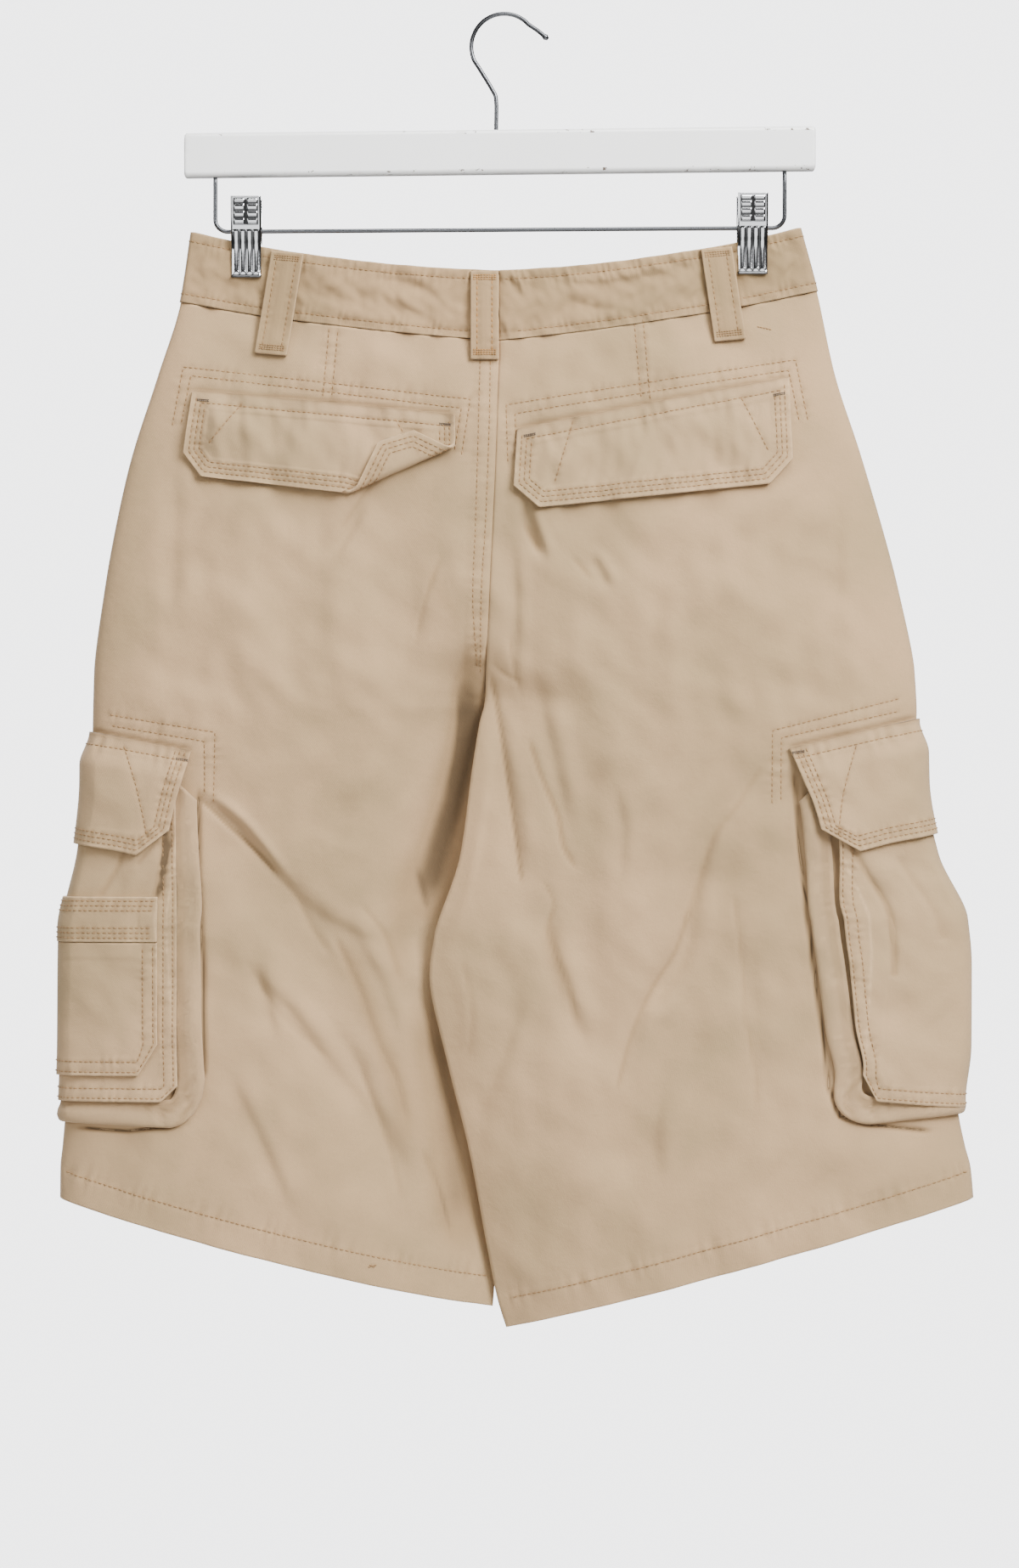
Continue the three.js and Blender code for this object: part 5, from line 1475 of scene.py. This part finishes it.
def waistButton():
    form = buttonForm
    radius, thick = form["radius"], form["thickness"]
    centre = clothPoint(left, front, 0.08, 0.5, clothForm["bandLift"] + form["standOff"])
    turn = np.linspace(0, 2 * np.pi, 72, endpoint=False)
    r = np.r_[0.05, radius - 0.9, radius - 0.2, radius, radius - 0.2, radius - 0.8, radius - 1.6,
              radius - 2.2, np.linspace(radius - 2.6, 0.05, 20)]
    out = np.r_[0, 0, 0.3, 1.2, thick - 0.5, thick, thick, thick - 0.5, np.full(20, thick - form["dish"])]
    x, z = r[:, None] * np.cos(turn), r[:, None] * np.sin(turn)
    y = np.broadcast_to(out[:, None], x.shape).copy()
    for holeX, holeZ in ((1, 1), (1, -1), (-1, 1), (-1, -1)):
        away = np.hypot(x - holeX * form["holeAt"], z - holeZ * form["holeAt"])
        sunk = 1 - ease((away - form["holeRadius"]) / form["holeSlope"])
        y -= form["holeDepth"] * sunk * (out[:, None] > 2)
    rings = centre + np.stack([x, y, z], axis=-1)
    piece = tube("button_waist", rings)
    piece.data.materials.append(hornPlastic())
    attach(piece, "root")
    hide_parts("waist_button")


waistButton()


# Hanger

def paintedWood():  # white paint, worn through to dark wood in small chips near the edges
    shade = Shade("white_paint")
    place = shade.place()
    soft = shade.noise(place, 7.0, 3.0)
    base = shade.blend(soft.between(0.3, 0.7), linear(247, 247, 245), linear(253, 253, 252))
    chips = shade.noise(place, 190.0, 3.0, 0.7)
    edge = shade.attribute("wearAndShade")
    chipped = (chips + edge * 0.30).between(0.93, 0.97)
    base = shade.blend(chipped, base, linear(94, 80, 68))
    scuff = (shade.noise(place, 60.0, 4.0, 0.65) + edge * 0.2).between(0.72, 0.9)
    base = shade.blend(scuff * 0.25, base, linear(190, 184, 176))
    height = soft * 0.3 - chipped * 0.5
    return shade.finish(Base_Color=base, Roughness=0.38 + 0.3 * scuff, Normal=shade.bump(height, 0.0005, 0.6),
                        Coat_Weight=0.5)


def chrome(name, colour, rough):
    shade = Shade(name)
    place = shade.place()
    smear = shade.noise(place, 90.0, 4.0)
    fine = shade.noise(place, 900.0, 2.0)
    base = shade.blend(smear.between(0.35, 0.7) * 0.3, colour, tuple(c * 0.8 for c in colour))
    # painted shade: nearly black in the clip's hollows between ribs, in the flutes and along the lip
    grooveShade = shade.attribute("wearAndShade")
    base = shade.blend(grooveShade, base, (0.012, 0.012, 0.012))
    return shade.finish(Base_Color=base, Metallic=1.0, Roughness=rough + 0.12 * smear + 0.2 * grooveShade,
                        Normal=shade.bump(fine, 0.00004, 0.5))


barPaint = paintedWood()
clipChrome = chrome("clip_chrome", (0.66, 0.67, 0.69), 0.07)
wireChrome = chrome("wire_chrome", (0.12, 0.124, 0.132), 0.2)
barForm = {
    "length": 356.4, "depth": 12.0, "height": 24.5, "x": -2.6, "z": -77.2, "tilt": 0.01134,
    "edge": 2.6, "endRound": 1.6,
}


def hangerBar():  # a rounded rectangle carried along the bar, drawn in at both ends
    form = barForm
    ends = np.linspace(0, 3, 8)
    along = np.r_[ends, np.linspace(6, form["length"] - 6, 150), form["length"] - ends[::-1]]
    turn = np.linspace(0, 2 * np.pi, 96, endpoint=False)
    w, h = form["height"] / 2 - form["edge"], form["depth"] / 2 - form["edge"]
    beyond = np.stack([np.cos(turn), np.sin(turn)]) * 30  # a circle outside the section
    corner = np.clip(beyond, [[-w], [-h]], [[w], [h]])
    away = beyond - corner
    away /= np.linalg.norm(away, axis=0)
    outlineZ, outlineY = corner[0] + away[0] * form["edge"], corner[1] + away[1] * form["edge"]
    fromEnd = np.minimum(along, form["length"] - along)
    drawn = form["endRound"] * (1 - np.sqrt(clamp01(1 - (1 - clamp01(fromEnd / form["endRound"])) ** 2)))
    scaleZ, scaleY = 1 - drawn / (form["height"] / 2), 1 - drawn / (form["depth"] / 2)
    x = along - form["length"] / 2
    rings = np.stack([
        np.broadcast_to(x[:, None], (len(x), len(turn))),
        outlineY[None, :] * scaleY[:, None],
        outlineZ[None, :] * scaleZ[:, None],
    ], axis=-1).copy()
    rings[..., 2] += form["tilt"] * rings[..., 0] + form["z"]
    rings[..., 0] += form["x"]
    corners = (np.abs(outlineZ) > w) & (np.abs(outlineY) > h)
    # on the bar this holds only edge wear, where the paint chips: the corners and both ends
    wearAndShade = np.maximum(corners[None, :] * 1.0, (1 - clamp01(fromEnd / 5))[:, None])
    piece = tube("bar", rings, {"wearAndShade": np.r_[wearAndShade.ravel(), 0, 0]})
    piece.data.materials.append(barPaint)
    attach(piece, "root")
    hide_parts("hanger_bar")


hookForm = {"radius": 18.7, "wire": 1.2, "stemX": -4.7, "neckZ": -47.6, "tip": (24.6, -13.2), "ball": 1.9}
rodForm = {"left": (-163.4, -122.0), "right": (158.3, -119.9), "bend": 7.0, "wire": 1.2, "inBar": -77.0}


def dressWire(piece, node):
    piece.data.materials.append(wireChrome)
    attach(piece, "root")
    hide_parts(node)


def arcPoints(x, z, radius, start, end, count):
    turn = np.radians(np.linspace(start, end, count + 1))
    return [(x + radius * np.cos(t), z + radius * np.sin(t)) for t in turn]


def hangerHook():
    form = hookForm
    x, neck = form["stemX"], form["neckZ"]
    flat = [(x, -79.0), (x, -64.0), (x, neck), (x - 2.2, neck + 6), (x - 9.5, neck + 18)]
    flat += arcPoints(0, -form["radius"] + form["wire"], form["radius"], 205, 42, 16)
    flat += [(19.2, -8.6), form["tip"]]
    path = smoothPath([(px, 0.0, pz) for px, pz in flat], 4)
    radius = np.full(len(path), form["wire"])
    fromTip = np.linalg.norm(path - path[-1], axis=1)
    ball = fromTip < 2 * form["ball"]
    rounding = np.sqrt(np.maximum(form["ball"] ** 2 - (fromTip[ball] - form["wire"]) ** 2, 0.01))
    radius[ball] = np.maximum(radius[ball], rounding)
    radius[-1] = 0.9
    dressWire(tube("hook", wireRings(path, radius)), "hanger_hook")


def crossRod():
    (x0, z0), (x1, z1), bend = rodForm["left"], rodForm["right"], rodForm["bend"]
    flat = [(x0, rodForm["inBar"]), (x0, -95.0)] + arcPoints(x0 + bend, z0 + bend, bend, 180, 270, 10)
    flat += arcPoints(x1 - bend, z1 + bend, bend, 270, 360, 10) + [(x1, -95.0), (x1, rodForm["inBar"])]
    path = np.array([(px, 0.0, pz) for px, pz in flat])
    dressWire(tube("rod", wireRings(path, rodForm["wire"])), "hanger_rod")


hangerBar()
hangerHook()
crossRod()
print("hanger done")

# Clips: each jaw is a bent plate, ribbed across its upper third and fluted below, with two ears
clipForms = [{"name": "left", "x": -145.7, "z": -121.9}, {"name": "right", "x": 140.1, "z": -120.0}]
clipForm = {  # bands are shares of the plate's length
    "width": 17.0, "sheet": 1.0, "ribs": 4, "ribHeight": 0.6, "ribBand": (0.03, 0.34), "ribPitch": 0.35,
    "flutes": 4, "fluteHeight": 0.5, "fluteBand": (0.40, 0.93), "lip": 0.955, "earSheet": 0.8, "earGap": 0.3,
}
jawProfile = [
    (7.9, 19), (7.3, 10), (6.3, 3), (4.9, -4), (3.5, -8.5), (2.85, -12.5), (2.85, -24), (3.95, -26.3),
]
earProfile = [(7.6, 8), (1.5, 4.2), (-2.6, 2.2), (-2.8, -1.8), (0.5, -3.4), (5.4, -3.4)]
springForm = {"radius": 2.7, "turns": 3, "half": 3.4, "wire": 0.5, "arm": 8.0}


def joinPieces(name, pieces):  # one mesh from several
    bpy.ops.object.select_all(action="DESELECT")
    for piece in pieces:
        piece.select_set(True)
    bpy.context.view_layer.objects.active = pieces[0]
    bpy.ops.object.join()
    pieces[0].name = name
    return pieces[0]


def jawPlate(label, face):
    half = clipForm["width"] / 2
    profile = smoothPath(jawProfile, 5)
    lengths = np.r_[0, np.cumsum(np.hypot(*np.diff(profile, axis=0).T))]
    down = np.linspace(0, lengths[-1], 121)
    y, z = np.interp(down, lengths, profile[:, 0]), np.interp(down, lengths, profile[:, 1])
    across, along = np.meshgrid(np.linspace(-half, half, 61), down)
    share, fromMiddle = along / lengths[-1], np.abs(across)
    (ribTop, ribFoot), (fluteTop, fluteFoot) = clipForm["ribBand"], clipForm["fluteBand"]
    upper = ease((share - ribTop) / 0.02) * (1 - ease((share - ribFoot) / 0.02))
    ribs = np.abs(np.sin(np.pi * clipForm["ribs"] * share / clipForm["ribPitch"])) ** 0.8
    twoColumns = ease((fromMiddle - 0.7) / 0.5) * (1 - ease((fromMiddle - (half - 2.2)) / 0.5))
    lower = ease((share - fluteTop) / 0.03) * (1 - ease((share - fluteFoot) / 0.03))
    flutes = np.abs(np.sin(np.pi * (across + half - 1.0) / (2 * half - 2.0) * clipForm["flutes"])) ** 0.7
    flutes = flutes * (1 - ease((fromMiddle - (half - 1.2)) / 0.3))
    raised = clipForm["ribHeight"] * ribs * twoColumns * upper + clipForm["fluteHeight"] * flutes * lower
    edge = 0.5 * ease((fromMiddle - (half - 0.9)) / 0.9)
    innerY, height = (np.broadcast_to(level[:, None], across.shape) for level in (y, z))
    outerY = innerY + clipForm["sheet"] + raised - edge
    outer = np.stack([across, face * outerY, height], axis=-1)
    inner = np.stack([across, face * innerY, height], axis=-1)[::2, ::2]
    # where painted shade goes: the hollows of the flutes, between the ribs, and along the lip
    inFlutes = (1 - clamp01((flutes - 0.2) / 0.6)) * lower * (1 - ease((fromMiddle - (half - 1.4)) / 0.3))
    rim = 1 - ease((fromMiddle - (half - 1.6)) / 0.4)
    inRibs = (1 - clamp01((ribs - 0.3) / 0.5) * twoColumns) * upper * rim
    lip = ease((share - clipForm["lip"]) / 0.015)
    grooveShade = clamp01(0.93 * inFlutes + 0.97 * inRibs + 0.9 * lip)
    return closedWall(label, outer, inner, {"wearAndShade": grooveShade}, weaveOf(outer))


def jawEar(face, sign):
    inside = 0 if face == back else clipForm["sheet"] + clipForm["earGap"]  # the front pair nests inside
    earOut = clipForm["width"] / 2 - inside
    ear = np.array(earProfile)
    rings = [np.stack([np.full(len(ear), sign * ex), face * ear[:, 0], ear[:, 1]], axis=1)
             for ex in (earOut - clipForm["earSheet"], earOut)]
    return tube("ear", np.array(rings))


def clipSpring():
    form = springForm
    t = np.linspace(0, 1, 160)
    angle = t * (2 * form["turns"] + 1) * np.pi
    coil = np.stack([mix(-form["half"], form["half"], t), -form["radius"] * np.cos(angle),
                     form["radius"] * np.sin(angle)], axis=1)
    path = np.vstack([(-form["half"], -4.4, form["arm"]), coil, (form["half"], 7.8, form["arm"])])
    return tube("spring", wireRings(path, form["wire"], 10))


def jaw(clip, face, label, node):
    parts = [jawPlate(label, face), jawEar(face, -1), jawEar(face, 1)]
    if face == front:
        parts.append(clipSpring())
    for part in parts:
        points = np.empty(len(part.data.vertices) * 3, np.float32)
        part.data.vertices.foreach_get("co", points)
        points = points.reshape(-1, 3) + np.array([clip["x"], 0, clip["z"]], np.float32) * mm
        part.data.vertices.foreach_set("co", points.ravel())
    piece = joinPieces(label, parts)
    piece.data.materials.append(clipChrome)
    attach(piece, "root")
    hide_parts(node)


for clip in clipForms:
    jaw(clip, back, f"jaw_{clip['name']}_front", f"clip_{clip['name']}_front_jaw")
    jaw(clip, front, f"jaw_{clip['name']}_back", f"clip_{clip['name']}_back_jaw")
print("clips done")


# Studio: pale floor below, soft lights and the camera square to the back of the shorts
studio = {
    "centre": (0.0029, -0.434), "frameHeight": 0.886, "distance": 2.3, "floorZ": -1.15, "floorRadius": 1.0,
    "sky": (3.9, 3.9, 3.95), "fill": (0.21, 0.66), "fillFrom": (-0.5, 0.7),
    "mirrored": (0.02, 2.2), "mirroredFrom": (-0.94, -1.0), "patchDrop": 0.3, "aim": (0.0, 0.0, -0.43),
}
lights = [  # name, place, size, power
    ("key", (1.35, -1.65, 0.95), 1.1, 128.0),
    ("top", (0.3, -0.9, 1.3), 1.0, 34.0),
    ("side", (-1.5, -1.2, 0.1), 0.9, 11.0),
    ("wallSide", (-1.1, 1.7, 0.6), 1.0, 55.0),
]


def placeCamera():
    camera = bpy.data.objects.new("camera", bpy.data.cameras.new("camera"))
    bpy.context.scene.collection.objects.link(camera)
    camera.location = (studio["centre"][0], -studio["distance"], studio["centre"][1])
    camera.rotation_euler = (np.pi / 2, 0, 0)
    camera.data.lens = camera.data.sensor_width * studio["distance"] / studio["frameHeight"]
    camera.data.clip_end = 50
    bpy.context.scene.camera = camera


def layFloor():
    around = 96
    turn = np.linspace(0, 2 * np.pi, around, endpoint=False)
    radii = np.array([0.001, 0.5, 1.0]) * studio["floorRadius"] / mm
    disc = np.stack([radii[:, None] * np.cos(turn), radii[:, None] * np.sin(turn),
                     np.full((len(radii), around), studio["floorZ"] / mm)], axis=-1)
    i, k = np.meshgrid(np.arange(len(radii) - 1), np.arange(around), indexing="ij")
    here, beyond, nextK = i * around, (i + 1) * around, (k + 1) % around
    quads = np.stack([here + k, beyond + k, beyond + nextK, here + nextK], axis=-1)
    floor = addMesh("floor", disc, [quads.reshape(-1, 4)])
    shade = Shade("pale_floor")
    grain = shade.noise(shade.place(), 30.0, 3.0)
    base = shade.blend(grain, linear(222, 222, 222), linear(230, 230, 230))
    floor.data.materials.append(shade.finish(Base_Color=base, Roughness=0.8))


def lightFrom(nodes, links, level, reach, strengths):  # a white glow whose strength follows a direction
    ramp, glow = nodes.new("ShaderNodeMapRange"), nodes.new("ShaderNodeBackground")
    links.new(level, ramp.inputs["Value"])
    ramp.inputs["From Min"].default_value, ramp.inputs["From Max"].default_value = reach
    ramp.inputs["To Min"].default_value, ramp.inputs["To Max"].default_value = strengths
    glow.inputs[0].default_value = (1.0, 1.0, 1.0, 1)
    links.new(ramp.outputs[0], glow.inputs[1])
    return glow.outputs[0]


def mixShaders(nodes, links, share, first, second):
    mixed = nodes.new("ShaderNodeMixShader")
    for socket, output in zip(mixed.inputs, (share, first, second)):
        links.new(output, socket)
    return mixed.outputs[0]


# The camera sees a plain sky, cloth is lit from above, and metal mirrors a bright patch among dark sides
def buildWorld():
    world = bpy.data.worlds.new("studio")
    world.use_nodes = True
    bpy.context.scene.world = world
    nodes, links = world.node_tree.nodes, world.node_tree.links
    seen = nodes["Background"]
    seen.inputs[0].default_value = (*studio["sky"], 1)
    direction, axes = nodes.new("ShaderNodeTexCoord"), nodes.new("ShaderNodeSeparateXYZ")
    links.new(direction.outputs["Generated"], axes.inputs[0])
    lit = lightFrom(nodes, links, axes.outputs[2], studio["fillFrom"], studio["fill"])
    lowered = nodes.new("ShaderNodeMath")
    lowered.operation = "MULTIPLY_ADD"
    links.new(axes.outputs[2], lowered.inputs[0])
    lowered.inputs[1].default_value = studio["patchDrop"]
    links.new(axes.outputs[1], lowered.inputs[2])
    mirrored = lightFrom(nodes, links, lowered.outputs[0], studio["mirroredFrom"], studio["mirrored"])
    rays = nodes.new("ShaderNodeLightPath")
    glossy = mixShaders(nodes, links, rays.outputs["Is Glossy Ray"], lit, mirrored)
    shown = mixShaders(nodes, links, rays.outputs["Is Camera Ray"], glossy, seen.outputs[0])
    links.new(shown, nodes["World Output"].inputs[0])


def hangLights():
    for name, place, size, power in lights:
        lamp = bpy.data.lights.new(name, "AREA")
        lamp.size, lamp.energy = size, power
        light = bpy.data.objects.new(name, lamp)
        light.location = place
        toward = np.array(studio["aim"]) - np.array(place)
        tilt = np.arctan2(np.hypot(toward[0], toward[1]), -toward[2])
        light.rotation_euler = (tilt, 0, np.arctan2(toward[1], toward[0]) - np.pi / 2)
        bpy.context.scene.collection.objects.link(light)


placeCamera()
layFloor()
buildWorld()
hangLights()
print("studio ready")
